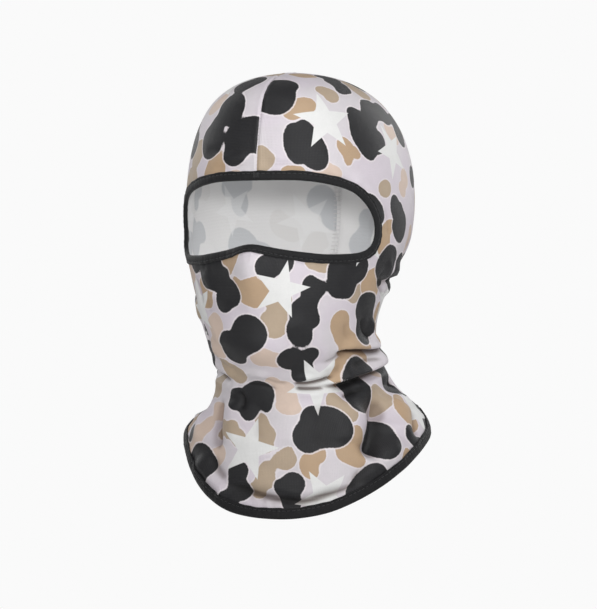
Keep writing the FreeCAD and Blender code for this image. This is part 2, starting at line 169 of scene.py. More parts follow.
def hem_z(deg):
    deg = (np.asarray(deg, float) + 180.0) % 360.0 - 180.0
    n = len(HEM)
    xs = HEM[:, 0]
    k = np.clip(np.searchsorted(xs, deg, side="right") - 1, 0, n - 1)

    def pt(i):
        return HEM[i % n, 0] + 360.0 * (i // n), HEM[i % n, 1]
    (x0, y0), (x1, y1), (x2, y2), (x3, y3) = pt(k - 1), pt(k), pt(k + 1), pt(k + 2)
    u = (deg - x1) / (x2 - x1)
    m1 = (y2 - y0) / (x2 - x0) * (x2 - x1)
    m2 = (y3 - y1) / (x3 - x1) * (x2 - x1)
    return ((2 * u ** 3 - 3 * u ** 2 + 1) * y1 + (u ** 3 - 2 * u ** 2 + u) * m1
            + (-2 * u ** 3 + 3 * u ** 2) * y2 + (u ** 3 - u ** 2) * m2)


# the sections above must be the CAD skin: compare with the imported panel
_lo, _hi = BOX["hood_panel"]
_t = np.linspace(-math.pi, math.pi, 361)
_probe = np.concatenate([skin(_t, 0 * _t + s) for s in np.linspace(0.2, 12, 60)])
if abs(_probe[:, 0].max() * MM - 0.0818) > 0.002 or abs(_hi[2] - 0.3205) > 0.002:
    raise RuntimeError("the packed hood is not the shape this script drapes")

SEAM_ZONE_Z = 236.0       # the centre seam exists above the face opening and behind


def hash_noise(p, scale, seed):
    """Smooth value noise, deterministic, about -1..1."""
    q = np.asarray(p, float) / scale + seed * 17.13
    i = np.floor(q).astype(np.int64)
    f = q - i
    f = f * f * (3 - 2 * f)
    out = 0.0
    for dx in (0, 1):
        for dy in (0, 1):
            for dz in (0, 1):
                h = ((i[..., 0] + dx) * 374761393 + (i[..., 1] + dy) * 668265263
                     + (i[..., 2] + dz) * 2147483647 + seed * 974711)
                h = (h ^ (h >> 13)) * 1274126177
                h = (h ^ (h >> 16)) & 0xFFFF
                w = ((f[..., 0] if dx else 1 - f[..., 0]) * (f[..., 1] if dy else 1 - f[..., 1])
                     * (f[..., 2] if dz else 1 - f[..., 2]))
                out = out + w * (h / 32767.5 - 1.0)
    return out


# ------------------------------------------------------------------
# Folds: each is a line on the hood with a height and a width in mm.
FOLDS = [
    (-4.5, 2.2, [(-54.3, 108.8), (-41.7, 101.1), (-25.8, 96.2)]),
    (2.6, 3.5, [(-54, 111.3), (-35.3, 105.4), (-20.6, 100.1)]),
    (1.6, 3, [(-56.3, 96.2), (-29.9, 93.1), (-19.2, 91.4)]),
    (-2.8, 2, [(15.7, 94.8), (23.9, 94.4), (33.6, 96.7), (44.6, 100.8)]),
    (1.6, 2.6, [(17.2, 98.1), (28.1, 98.3), (40.7, 102.3)]),
    (-2.2, 1.7, [(15.9, 90.9), (25.7, 90.8), (35.9, 91.7)]),
    (1.4, 2.4, [(16.9, 87.7), (25.8, 87.3), (34.3, 88.9)]),
    (-1, 3, [(-1.6, 99.8), (6.1, 95.6), (15.1, 94.8)]),
    (-3.4, 3, [(100.6, 106.2), (73.8, 101.6), (60.2, 98.2), (49.9, 94.9), (41.9, 91.6)]),
    (5, 5.5, [(105.4, 114.7), (73.2, 108.6), (56.4, 103.6), (43.4, 99.4)]),
    (3.4, 6.5, [(94.2, 99.3), (67.4, 95.4), (50.9, 90.4)]),
    (-2.4, 2, [(92.2, 116.9), (74.1, 117), (63.2, 118.4), (51.3, 115.1)]),
    (2, 4, [(97.6, 121.9), (71.7, 122.6), (56.9, 119.3)]),
    (-1.6, 2.2, [(85.4, 111.8), (69.2, 111.3), (54.5, 107)]),
    (-9.5, 8.5, [(66.9, 83.8), (56.9, 73.7), (51.2, 61.3), (47, 49.7), (42.9, 39.5)]),
    (4, 8, [(77.1, 79.5), (68.7, 67.1), (62.9, 54.9)]),
    (3, 10, [(48.6, 81.2), (39.7, 66.1), (36.8, 50.9)]),
    (-4.5, 4.5, [(-33.8, 84.9), (-30.2, 71.4), (-27.9, 57.9), (-24, 45.4)]),
    (2.2, 6, [(-24.6, 83.9), (-19.8, 68.4), (-15.9, 50.2)]),
    (3, 5.5, [(-45.9, 75.3), (-41.9, 63.2), (-38, 48.4)]),
    (-2.2, 2, [(-19.8, 89.2), (-15, 82.9), (-15.4, 75.1)]),
    (-2.6, 2.6, [(-18.7, 24.6), (-9.1, 20.8), (2.1, 16.2), (14.6, 13.1), (24.8, 17.9), (36.2, 24.5)]),
    (2.4, 5, [(-20, 30.2), (-9.3, 27.5), (4.2, 23.3), (14.6, 19.3), (24.8, 24.2), (35.4, 31.5)]),
    (-2.4, 3, [(45.3, 40), (39.8, 32), (35.8, 23.1)]),
    (3.2, 5.5, [(64.5, 53.3), (53.6, 43.6), (46, 35.8), (39.8, 27.1)]),
    (3, 5, [(-37.7, 42.7), (-31.6, 30.4), (-24.1, 20.6), (-15.7, 14.3)]),
    (-2.2, 3.5, [(-28.8, 42.8), (-24.1, 32.6), (-18.2, 25.4)]),
    (1.1, 5, [(22.4, 142.8), (35.9, 127.4), (50.9, 110.1)]),
    (-0.8, 5, [(18.9, 133.1), (28.1, 119.1), (37.2, 103.1)]),
    (0.8, 7, [(-14.3, 153.8), (-22.3, 136.4), (-26, 118.7)]),
    (-0.8, 7, [(57.1, 173.5), (70.6, 153.9), (76.6, 136.1)]),
    (-0.9, 5, [(-38.9, 160.9), (-36.7, 139.8), (-33.5, 118.5)]),
    (-0.9, 1.5, [(-23.3, 246.4), (-10.7, 247), (-2.3, 249.1)]),
    (0.7, 2.6, [(-26.1, 251.9), (-12.7, 252.4), (-3.4, 256.1)]),
    (-0.6, 2.2, [(-32.9, 260.3), (-18.9, 259.1), (-8.4, 263.4)]),
    (-0.8, 1.5, [(2, 248.9), (10.6, 248), (20.9, 245.2)]),
    (0.6, 2.6, [(1.9, 254.5), (11.5, 252.9), (23.9, 248.8)]),
    (-0.7, 1.6, [(28.2, 243.3), (39.4, 240.2), (48, 235.1)]),
    (0.8, 2.6, [(48.2, 240.7), (55.1, 234.1), (61.5, 224.6)]),
    (-0.9, 2, [(65.8, 221.3), (69.8, 210.9), (72.4, 198.1)]),
    (-2.6, 2, [(105.4, 154), (104.8, 164.6), (91.6, 180)]),
    (-3.2, 3.2, [(78, 166), (96, 167), (112, 169), (128, 171)]),
    (2.2, 2.6, [(104.9, 175.5), (109.5, 167.2), (107.3, 156.5)]),
    (2.0, 3.0, [(88, 175), (104, 176), (122, 178)]),
    (-2.0, 2, [(106.6, 154), (88.5, 164), (79.9, 175.4)]),
    (1.8, 2.4, [(106.4, 159.4), (91.8, 170.6), (79.7, 184)]),
    (2.4, 3, [(101.2, 121.1), (90.4, 130.1), (90.6, 142.4)]),
    (-2.2, 2.2, [(87.5, 125.1), (79.6, 132.5), (77.2, 142.5)]),
    (-2.6, 2.4, [(105.1, 130.6), (108.7, 137.9), (104.3, 148.1)]),
    (-0.8, 3, [(65.8, 122), (61.4, 129.2), (60.5, 139.8)]),
    (-1.6, 2.4, [(-52.3, 171), (-46.6, 160.1), (-47.4, 148.9)]),
    (-1.8, 2.6, [(-84, 168), (-70, 160), (-60, 148)]),
    (1.4, 3.0, [(-86, 160), (-72, 151), (-62, 138)]),
    (1.2, 3.2, [(-36.8, 175.1), (-32.1, 165.1), (-30.9, 152.5)]),
    (-2.2, 2.4, [(-64.6, 143), (-54.7, 131), (-45.1, 121.9)]),
    (1.5, 3.6, [(-40.2, 145.4), (-35.1, 132.7), (-30.3, 120.1)]),
    (1.4, 3, [(-45.6, 121.1), (-32.7, 114.3), (-20.3, 107.3)]),
    (-9.0, 3.6, [(-42, 107), (-62, 109.5), (-80, 110.5), (-100, 111)]),
    (-11, 10, [(-44, 80), (-62, 80), (-80, 80), (-100, 81)]),
    (-3.5, 4, [(73.5, 92.9), (83.6, 93), (100.3, 94.1)]),
    (2.2, 4.5, [(67.3, 80.1), (78.8, 82.3), (90.6, 79.9)]),
    (1.3, 2.6, [(-18.1, 103), (-5.4, 101.9), (4.8, 98.4)]),
    (-1.3, 2.2, [(-14.3, 94.5), (-2.8, 93.3), (8.1, 89.8)]),
    (1.2, 2.6, [(27.8, 104.8), (38.1, 105.3), (50.9, 110.1)]),
    (-1.3, 2, [(39.5, 108.9), (50.6, 113), (63.2, 118.4)]),
    (-2, 2.6, [(40.4, 84.4), (49.8, 88.3), (60.9, 90.7)]),
    (-1.4, 6, [(-3.3, 83.3), (-4.9, 69.1), (-4.9, 51.5)]),
    (1.4, 8, [(11.4, 82.1), (11.7, 65.9), (10.3, 48.5)]),
    (-1.6, 7, [(27.8, 83.3), (25.5, 65.9), (23.9, 47.1)]),
    (-3, 4, [(80.9, 73.3), (76.4, 63.6), (74.2, 53.9)]),
    (-1.8, 2.4, [(-35.3, 31.5), (-27.8, 22.3), (-20.4, 14.6)]),
]
# folds on the hidden side, of the same kind
FOLDS += [
    (-3.0, 3.0, [(118, 108), (138, 105), (160, 106), (184, 104), (210, 107)]),
    (2.2, 4.5, [(112, 114), (140, 112), (170, 113), (205, 113)]),
    (1.8, 4.5, [(125, 99), (150, 97), (178, 96), (204, 99)]),
    (-2.2, 2.6, [(150, 119), (172, 117), (198, 119), (222, 116)]),
    (1.6, 4.0, [(148, 125), (175, 123), (200, 125)]),
    (1.8, 3.0, [(-58, 103), (-76, 102), (-96, 102), (-118, 100)]),
    (-2.3, 10.0, [(-70, 246), (-76, 222), (-74, 200), (-70, 186)]),
    (-3.4, 5.5, [(112, 98), (116, 88), (118, 78)]),
    (2.4, 7.0, [(128, 98), (131, 90), (133, 82)]),
    (-3.0, 6.0, [(-84, 94), (-88, 84), (-90, 74)]),
    (2.2, 7.0, [(-68, 92), (-71, 78), (-72, 64)]),
    (2.0, 7.0, [(-106, 96), (-110, 88), (-112, 80)]),
    (-2.4, 6.0, [(-138, 98), (-140, 91), (-141, 85)]),
    (-0.9, 7.0, [(96, 205), (112, 180), (128, 160), (150, 145)]),
    (-0.9, 7.0, [(-96, 205), (-112, 180), (-128, 160), (-150, 145)]),
    (0.9, 8.0, [(104, 214), (122, 188), (142, 168), (165, 152)]),
    (0.9, 8.0, [(-104, 214), (-122, 188), (-142, 168), (-165, 152)]),
    (-0.8, 5.0, [(168, 160), (180, 156), (192, 160)]),
    (-0.8, 5.0, [(160, 148), (180, 143), (200, 148)]),
]


# folds where the cloth above hangs over the cloth below:
# rise and reach above the line, drop and reach below it
LAPS = [
    (5.2, 8.0, 5.0, 5.0, [(110, 111.5), (92, 108), (73.8, 104), (60.2, 100.5), (49.9, 97), (41.9, 94.6), (30, 93.6)]),
    (3.4, 5.0, 2.8, 4.0, [(100, 120), (84, 118.6), (63.2, 118.9), (50, 116.5)]),
    (4.0, 7.0, 4.2, 4.5, [(-104, 113), (-80, 112), (-62, 110), (-54.3, 108.2), (-41.7, 101.6), (-28, 97)]),
    (2.6, 8.0, 2.6, 6.0, [(118, 105), (150, 108), (180, 106), (210, 108), (240, 104)]),
    (1.7, 5.0, 1.5, 4.0, [(-22, 27), (-9.1, 21.4), (2.1, 16.8), (14.6, 14.4), (24.8, 18.5), (36.2, 25), (48, 34)]),
    (1.5, 6.0, 1.2, 4.0, [(128, 96), (152, 95), (176, 97)]),
]


def resample_line(pts, step=2.0):
    """A smooth line through (angle, height) points, as points on the skin."""
    a = np.array(pts, float)
    n = len(a)
    ext = np.vstack([2 * a[0] - a[1], a, 2 * a[-1] - a[-2]])
    out = []
    for i in range(n - 1):
        for f in np.linspace(0, 1, 12, endpoint=False):
            out.append(catmull(ext[i], ext[i + 1], ext[i + 2], ext[i + 3], f))
    out.append(a[-1])
    out = np.array(out)
    return skin(np.radians(out[:, 0]), s_of_z(out[:, 1]))


FOLD_LINES = [(amp, w, resample_line(pts)) for amp, w, pts in FOLDS]
LAP_LINES = [(*q[:4], resample_line(q[4])) for q in LAPS]


def line_distance(p, line, cut, above=None):
    """Distance from points to a polyline, and the share of the way along it."""
    best = np.full(len(p), 1e9)
    along = np.zeros(len(p))
    lo, hi = line.min(0) - cut, line.max(0) + cut
    near = np.all((p > lo) & (p < hi), axis=1)
    q = p[near]
    if not len(q):
        return best, along
    a, b = line[:-1], line[1:]
    d = b - a
    L = np.maximum(np.sum(d * d, 1), 1e-12)
    bb = np.full(len(q), 1e9)
    aa = np.zeros(len(q))
    zz = np.zeros(len(q))
    m = len(a)
    for k in range(m):
        u = np.clip(((q - a[k]) @ d[k]) / L[k], 0, 1)
        c = a[k] + u[:, None] * d[k]
        r = np.linalg.norm(q - c, axis=1)
        better = r < bb
        bb = np.where(better, r, bb)
        aa = np.where(better, (k + u) / m, aa)
        zz = np.where(better, c[:, 2], zz)
    best[near] = bb
    along[near] = aa
    if above is not None:
        above[near] = q[:, 2] - zz
    return best, along


def opening_loop():
    ctl = np.array([(math.radians(a), z) for a, z in EYE]
                   + [(-math.radians(a), z) for a, z in reversed(EYE_RIGHT[1:-1])])
    m = len(ctl)
    pts = []
    for i in range(m):
        for k in range(8):
            pts.append(catmull(ctl[i - 1], ctl[i], ctl[(i + 1) % m], ctl[(i + 2) % m], k / 8.0))
    pts = np.array(pts)
    return pts[:, 0], pts[:, 1]


EYE_T, EYE_Z = opening_loop()
EYE_P = skin(EYE_T, s_of_z(EYE_Z))
EYE_CLOSED = np.vstack([EYE_P, EYE_P[:1]])


# painted shade for pinched creases and lapped edges: relief() keeps its per-point mask here
CREASE_SHADE = {}


def relief(t, s, p, keep=None):
    """Height of the cloth off the smooth worn shape, in mm."""
    shape = p.shape[:-1]
    q = p.reshape(-1, 3)
    tt = np.asarray(t, float).reshape(-1)
    d = np.zeros(len(q))
    # mask of painted shade, strongest in pinched creases and just under lapped edges
    crease_shade_mask = np.zeros(len(q))
    for amp, w, line in FOLD_LINES:
        r, u = line_distance(q, line, 3.2 * w)
        taper = np.clip(np.minimum(u, 1 - u) / 0.22, 0, 1)
        taper = 0.08 + 0.92 * taper * taper * (3 - 2 * taper)
        if amp < 0:                                   # creases are narrow, rolls are round
            d += 1.45 * amp * taper * np.exp(-(r / (1.15 * w)) ** 1.35)
            # strength and width of the painted shade in this crease
            tight = min(1.0, -amp / 2.6) * min(1.0, 3.2 / w)
            if 84 < line[:, 2].min() and line[:, 2].max() < 127:
                fine = 0.40 * w + 0.6
            else:
                fine, tight = 0.5 * w + 1.8, 0.45 * tight
            crease_shade_mask = np.maximum(crease_shade_mask, tight * taper * np.exp(-(r / fine) ** 2))
        else:
            d += 1.30 * amp * taper * np.exp(-0.5 * (r / w) ** 2)
    for rise, up, drop, down, line in LAP_LINES:
        over = np.zeros(len(q))
        r, u = line_distance(q, line, 3.0 * max(up, down), over)
        taper = np.clip(np.minimum(u, 1 - u) / 0.25, 0, 1)
        taper = taper * taper * (3 - 2 * taper)
        sd = r * np.sign(over)
        soft = 0.60 if line[:, 2].min() > 84 else 2.0
        step = 0.5 * (1 + np.tanh(np.clip(sd, -9, 9) / soft))
        near = r < 1e8
        d += near * taper * (step * rise * np.exp(-(r / up) ** 1.5) - (1 - step) * drop * np.exp(-(r / down) ** 1.4))
        # painted shade just below each lapped edge
        crease_shade_mask = np.maximum(crease_shade_mask, near * np.sqrt(taper) * min(1.0, (rise + drop) / 4.5)
                           * np.exp(-((np.clip(sd, -9, 9) + 1.5) / (1.3 + 0.5 * soft)) ** 2))
    # keep the painted-shade mask under the given key
    if keep:
        CREASE_SHADE[keep] = crease_shade_mask.reshape(shape)
    z = q[:, 2]
    # large soft unevenness of stretched knit, almost none on the skull
    loose = 0.25 + 0.75 * np.clip((200 - z) / 90.0, 0, 1)
    d += loose * 0.75 * hash_noise(q, 34.0, 3)
    d += loose * 0.30 * hash_noise(q, 15.0, 5)
    # the centre seam sits in a shallow groove between two low ridges
    x = q[:, 0]
    back = np.abs(tt) > math.pi / 2
    on = ((z > SEAM_ZONE_Z) | back).astype(float)
    d += on * (-0.62 * np.exp(-(x / 0.75) ** 2) + 0.32 * np.exp(-((np.abs(x) - 2.3) / 1.3) ** 2)
               + 0.12 * np.sin(q[:, 1] * 0.55 + z * 0.55) * np.exp(-(x / 5.0) ** 2))
    # the knit puckers along both bindings
    r, u = line_distance(q, EYE_CLOSED, 22.0)
    ph = u * 2 * math.pi
    wave = np.sin(ph * 47 + 2.2 * np.sin(ph * 5)) * 0.6 + np.sin(ph * 71 + 1.0) * 0.4
    d += 0.26 * wave * np.exp(-((r - 7.5) / 5.0) ** 2) * (r < 60)
    hz = hem_z(np.degrees(tt))
    dh = z - hz
    wave = np.sin(tt * 58 + 2.5 * np.sin(tt * 6)) * 0.6 + np.sin(tt * 83) * 0.4
    d += 0.32 * wave * np.exp(-((dh - 10.0) / 6.0) ** 2)
    return d.reshape(shape)


def cloth(t, s):
    """Points of the real, folded cloth surface and its smooth-shape normal."""
    p, dt, ds, n = frame_at(t, s)
    return p + relief(t, s, p)[..., None] * n, n


# ------------------------------------------------------------------
# Grid of the panel
def arc_angles(step):
    """Angles evenly spaced round the widest level, closer together at the seam."""
    t = np.linspace(0, math.pi, 2001)
    p = skin(t, np.full_like(t, 8.0))
    L = np.concatenate([[0], np.cumsum(np.linalg.norm(np.diff(p, axis=0), axis=1))])
    total = L[-1]
    fine = [0.0, 0.55, 1.15, 1.9, 2.8, 4.0]
    n = int(round((total - 8.0) / step))
    dist = fine + list(np.linspace(4.0, total - 4.0, n + 1)[1:-1]) + [total - f for f in reversed(fine)]
    half = np.interp(dist, L, t)
    return np.concatenate([half, -half[1:-1][::-1]]), np.array(dist + [-d for d in dist[1:-1][::-1]])


STEP = 2.30
ANG, ARC = arc_angles(STEP)
NC = len(ANG)
S_HEM = s_of_z(hem_z(np.degrees(ANG)) + FOLD_IN)
# rows lie closer together round the neck, where the creases are sharp
NECK_TOP, NECK_LOW = float(s_of_z(127.0)), float(s_of_z(84.0))
_sf = np.linspace(0.0, 1.0, 2001)
_pitch = np.where((_sf > NECK_TOP / float(S_HEM[0])) & (_sf < NECK_LOW / float(S_HEM[0])), 0.52, 1.0)
_len = np.concatenate([[0], np.cumsum(np.linalg.norm(np.diff(
    skin(0 * _sf + 0.9, _sf * float(S_HEM[0])), axis=0), axis=1) / _pitch[1:])])
NV = int(round(_len[-1] / (0.93 * STEP)))
fr = np.interp(np.linspace(0, _len[-1], NV + 1)[1:], _len, _sf)
# below the neck the rows fan out to the slanting hem
CUT = np.minimum(NECK_LOW, 0.93 * S_HEM)
_f = fr[:, None]
_k0 = NECK_LOW / float(S_HEM[0])
GS = np.where(_f < _k0, _f / _k0 * CUT[None, :],
              CUT[None, :] + (_f - _k0) / (1 - _k0) * (S_HEM - CUT)[None, :])
GT = np.broadcast_to(ANG[None, :], GS.shape)
P0, _, _, N0 = frame_at(GT, GS)
REL = relief(GT, GS, P0, "grid")


def blurred(a, rows, cols):
    """Running mean over rows (held at the ends) and columns (round the head)."""
    for _ in range(2):
        p = np.pad(a, ((rows, rows), (0, 0)), mode="edge")
        a = sum(p[k:k + a.shape[0]] for k in range(2 * rows + 1)) / (2 * rows + 1)
        a = sum(np.roll(a, k, 1) for k in range(-cols, cols + 1)) / (2 * cols + 1)
    return a


# this depth sets how much painted shade the hollows of the folds get
HOLLOW_SHADE = blurred(REL, 5, 4) - REL                # above nought in the hollows of the folds
PP = P0 + REL[..., None] * N0
apex = skin(np.array(0.0), np.array(0.0))
apex_rel = float(relief(np.array([0.0]), np.array([0.0]), apex[None])[0])
APEX_P = apex + np.array([0, 0, apex_rel])

verts0 = np.vstack([apex[None], P0.reshape(-1, 3)])          # smooth shape
verts = np.vstack([APEX_P[None], PP.reshape(-1, 3)])          # folded shape
vt = np.concatenate([[0.0], GT.reshape(-1)])
vs = np.concatenate([[0.0], GS.reshape(-1)])
# per-vertex amounts of painted shade: in pinched creases, and in the hollows of the folds
vcrease_shade = np.concatenate([[0.0], CREASE_SHADE["grid"].reshape(-1)])
vhollow_shade = np.concatenate([[0.0], HOLLOW_SHADE.reshape(-1)])


def vid(j, i):
    return 1 + j * NC + (i % NC)


faces = []
face_col = []
for i in range(NC):
    faces.append((0, vid(0, i), vid(0, i + 1)))
    face_col.append(i)
for j in range(len(fr) - 1):
    for i in range(NC):
        faces.append((vid(j, i), vid(j + 1, i), vid(j + 1, i + 1), vid(j, i + 1)))
        face_col.append(i)


def inside_opening(t, z):
    px, py = EYE_T, EYE_Z
    inside = np.zeros(len(t), bool)
    j = len(px) - 1
    for i in range(len(px)):
        c = ((py[i] > z) != (py[j] > z)) & (t < (px[j] - px[i]) * (z - py[i]) / (py[j] - py[i] + 1e-12) + px[i])
        inside ^= c
        j = i
    return inside


tri_mid = np.array([[np.mean(vt[list(f)]) if max(vt[list(f)]) - min(vt[list(f)]) < 3 else 3.0,
                     np.mean(verts0[list(f), 2])] for f in faces])
hole = inside_opening(tri_mid[:, 0], tri_mid[:, 1])
faces = [f for f, h in zip(faces, hole) if not h]
face_col = [c for c, h in zip(face_col, hole) if not h]

# settle the jagged edge of the opening on to its true line
count = {}
for f in faces:
    for a, b in zip(f, f[1:] + f[:1]):
        count[(a, b)] = 1
edge_open = [(a, b) for (a, b) in count if (b, a) not in count]
rim = sorted({v for e in edge_open for v in e if verts0[v, 2] > 150})
rp = verts0[rim]
seg_a, seg_b = EYE_CLOSED[:-1], EYE_CLOSED[1:]
ta, tb = EYE_T, np.roll(EYE_T, -1)
za, zb = EYE_Z, np.roll(EYE_Z, -1)
best = np.full(len(rim), 1e9)
nt, nz = np.zeros(len(rim)), np.zeros(len(rim))
for k in range(len(seg_a)):
    d = seg_b[k] - seg_a[k]
    u = np.clip(((rp - seg_a[k]) @ d) / (d @ d), 0, 1)
    r = np.linalg.norm(rp - (seg_a[k] + u[:, None] * d), axis=1)
    m = r < best
    best[m] = r[m]
    nt[m] = (ta[k] + u * (tb[k] - ta[k]))[m]
    nz[m] = (za[k] + u * (zb[k] - za[k]))[m]
ns = s_of_z(nz)
rim = np.array(rim)
verts0[rim] = skin(nt, ns)
verts[rim], _n = cloth(nt, ns)
vt[rim], vs[rim] = nt, ns


def mesh_normals(v, fs):
    n = np.zeros_like(v)
    quads = np.array([f for f in fs if len(f) == 4])
    tris = np.array([f for f in fs if len(f) == 3])
    c = np.cross(v[quads[:, 2]] - v[quads[:, 0]], v[quads[:, 3]] - v[quads[:, 1]])
    for k in range(4):
        np.add.at(n, quads[:, k], c)
    if len(tris):
        c = np.cross(v[tris[:, 1]] - v[tris[:, 0]], v[tris[:, 2]] - v[tris[:, 0]])
        for k in range(3):
            np.add.at(n, tris[:, k], c)
    return unit(n)


VN = mesh_normals(verts, faces)
_, _, _, SN = frame_at(vt, vs)
if np.mean(np.sum(VN * SN, 1)) < 0:
    faces = [tuple(reversed(f)) for f in faces]
    VN = -VN


# ------------------------------------------------------------------
# The print: a generic camouflage.  Every patch is a union of soft ellipses
# and every star a plain regular one, laid out over the whole hood by a fixed
# seed: (angle, height, 2x2 map to unit circle) for each ellipse.

def patch_frame(t, z):
    s = s_of_z(z)
    p, _, _, n = frame_at(np.array(t), np.array(s))
    e1 = unit(np.cross(np.array([0, 0, 1.0]), n))
    e2 = np.cross(n, e1)
    return p, n, e1, e2


def local_uv(pts, nrm, t, z, reach):
    """Flattened coordinates on the cloth about (angle, height)."""
    p, n, e1, e2 = patch_frame(t, z)
    d = pts - p
    dist = np.linalg.norm(d, axis=1)
    ok = (dist < reach) & (nrm @ n > 0.1)
    u, v = d @ e1, d @ e2
    flat = np.maximum(np.hypot(u, v), 1e-6)
    k = np.minimum(dist / flat, 1.6)
    return ok, u * k, v * k


def smooth_min(a, b, k):
    h = np.clip(0.5 + 0.5 * (b - a) / k, 0, 1)
    return b + (a - b) * h - k * h * (1 - h)


FAR = 60.0
SIDE = np.where(np.sin(vt) >= -1e-9, 1, -1)
SEAMED = (verts0[:, 2] > SEAM_ZONE_Z) | (np.cos(vt) < 0)
WOB = 0.7 * hash_noise(verts0, 17.0, 21) + 0.15 * hash_noise(verts0, 7.0, 22)


def patch_sdf(side, parts):
    out = np.full(len(verts0), FAR)
    for t, z, a, b, c, d in parts:
        M = np.array([[a, b], [c, d]])
        size = 1.0 / max(np.linalg.svd(M)[1].min(), 1e-6)
        ok, u, v = local_uv(verts0, SN_, math.radians(t), z, size * 1.2 + 14)
        q = np.stack([u, v], 1) @ M.T
        r = np.maximum(np.linalg.norm(q, axis=1), 1e-6)
        g = np.maximum(np.linalg.norm((q / r[:, None]) @ M, axis=1), 1e-6)
        sd = np.where(ok, (r - 1) / g, FAR)
        out = np.where((sd < FAR * 0.5) | (out < FAR * 0.5), smooth_min(sd, out, 3.0), FAR)
    out = out + WOB
    if side:
        out = np.where(SEAMED & (SIDE != side), FAR, out)
    return out


SN_ = SN
LAYERS = {k: np.full(len(verts0), FAR) for k in "KOTHP"}
patch_centres = []


def free_spot(kind_far, tries=500):
    """A place on the cloth that keeps its distance from what is there."""
    for i in RNG.randint(0, len(verts0), tries):
        p, t, z = verts0[i], float(vt[i]), float(verts0[i, 2])
        if z > 317 or z < hem_z(math.degrees(t)) + 2:
            continue
        if all(np.linalg.norm(p - c) > kind_far.get(k, 0) for k, c in patch_centres):
            return t, z, p
    return None


def blob(t, z, size, count, spread):
    """A few overlapping ellipses about one place."""
    parts = []
    p, n, e1, e2 = patch_frame(t, z)
    th = RNG.uniform(0, math.pi)
    for k in range(count):
        ang = th + RNG.uniform(-0.9, 0.9) + (math.pi if k % 2 else 0)
        off_ = RNG.uniform(0.2, 1.0) * spread * (k > 0)
        q = p + e1 * math.cos(ang) * off_ + e2 * math.sin(ang) * off_
        tq = math.atan2(q[0], -(q[1] - 5.0)) if q[2] < 300 else t
        zq = q[2]
        if q[2] < 300:
            cand = np.linspace(t - 0.6, t + 0.6, 61)
            pts = skin(cand, np.full(61, s_of_z(zq)))
            tq = cand[np.argmin(np.linalg.norm(pts - q, axis=1))]
        rx = size * RNG.uniform(0.55, 1.0)
        ry = size * RNG.uniform(0.45, 0.85)
        a = RNG.uniform(0, math.pi)
        R = np.array([[math.cos(a), math.sin(a)], [-math.sin(a), math.cos(a)]])
        M = np.diag([1 / rx, 1 / ry]) @ R
        parts.append((math.degrees(tq), zq, M[0, 0], M[0, 1], M[1, 0], M[1, 1]))
    return parts


def side_of(t, z):
    return (1 if math.sin(t) >= 0 else -1) if (math.cos(t) < 0 or z > SEAM_ZONE_Z) else 0


star_list = []
for _ in range(34):
    got = free_spot({"S": 61})
    if not got:
        break
    t, z, p = got
    star_list.append((side_of(t, z), math.degrees(t), z, RNG.uniform(17, 27), RNG.uniform(0, 72)))
    patch_centres.append(("S", p))
for _ in range(90):
    got = free_spot({"S": 19, "K": 29})
    if not got:
        break
    t, z, p = got
    parts = blob(t, z, RNG.uniform(11.5, 17), RNG.randint(3, 6), 17)
    LAYERS["K"] = smooth_min(LAYERS["K"], patch_sdf(side_of(t, z), parts), 4.5)
    for q in parts:
        patch_centres.append(("K", patch_frame(math.radians(q[0]), q[1])[0]))
for k in range(150):
    kind = "THP"[k % 3]
    got = free_spot({"S": 14, "K": 16, "T": 18, "H": 18, "P": 16})
    if not got:
        break
    t, z, p = got
    parts = blob(t, z, RNG.uniform(8.5, 13.5), RNG.randint(2, 5), 11)
    LAYERS[kind] = smooth_min(LAYERS[kind], patch_sdf(side_of(t, z), parts), 4.5)
    for q in parts:
        patch_centres.append((kind, patch_frame(math.radians(q[0]), q[1])[0]))

star_uv = np.full((len(verts0), 2), 3.0)
star_m = np.full(len(verts0), 3.0)
for side, tdeg, z, R, rot in star_list:
    ok, u, v = local_uv(verts0, SN_, math.radians(tdeg), z, R * 1.5 + 6)
    c, s_ = math.cos(math.radians(rot)), math.sin(math.radians(rot))
    a, b = (u * c + v * s_) / R, (-u * s_ + v * c) / R
    m = np.hypot(a, b)
    if side:
        ok &= ~(SEAMED & (SIDE != side))
    take = ok & (m < star_m)
    star_uv[take] = np.stack([a, b], 1)[take]
    star_m[take] = m[take]


def add_float(mesh, name, values):
    at = mesh.attributes.new(name, "FLOAT", "POINT")
    at.data.foreach_set("value", np.ascontiguousarray(values, dtype=np.float32))


def add_vector(mesh, name, values):
    at = mesh.attributes.new(name, "FLOAT_VECTOR", "POINT")
    at.data.foreach_set("vector", np.ascontiguousarray(values, dtype=np.float32).ravel())


# ------------------------------------------------------------------
# The knit panel: outside, reverse and the cut rims between them
n_out = len(verts)
used = np.zeros(n_out, bool)
for f in faces:
    used[list(f)] = True
SEAM_ON = ((verts0[:, 2] > SEAM_ZONE_Z) | (np.cos(vt) < 0)).astype(float)
thick = KNIT_T + SEAM_ON * 0.75 * (1 / (1 + np.exp((np.abs(verts0[:, 0]) - 3.0) / 0.45)))
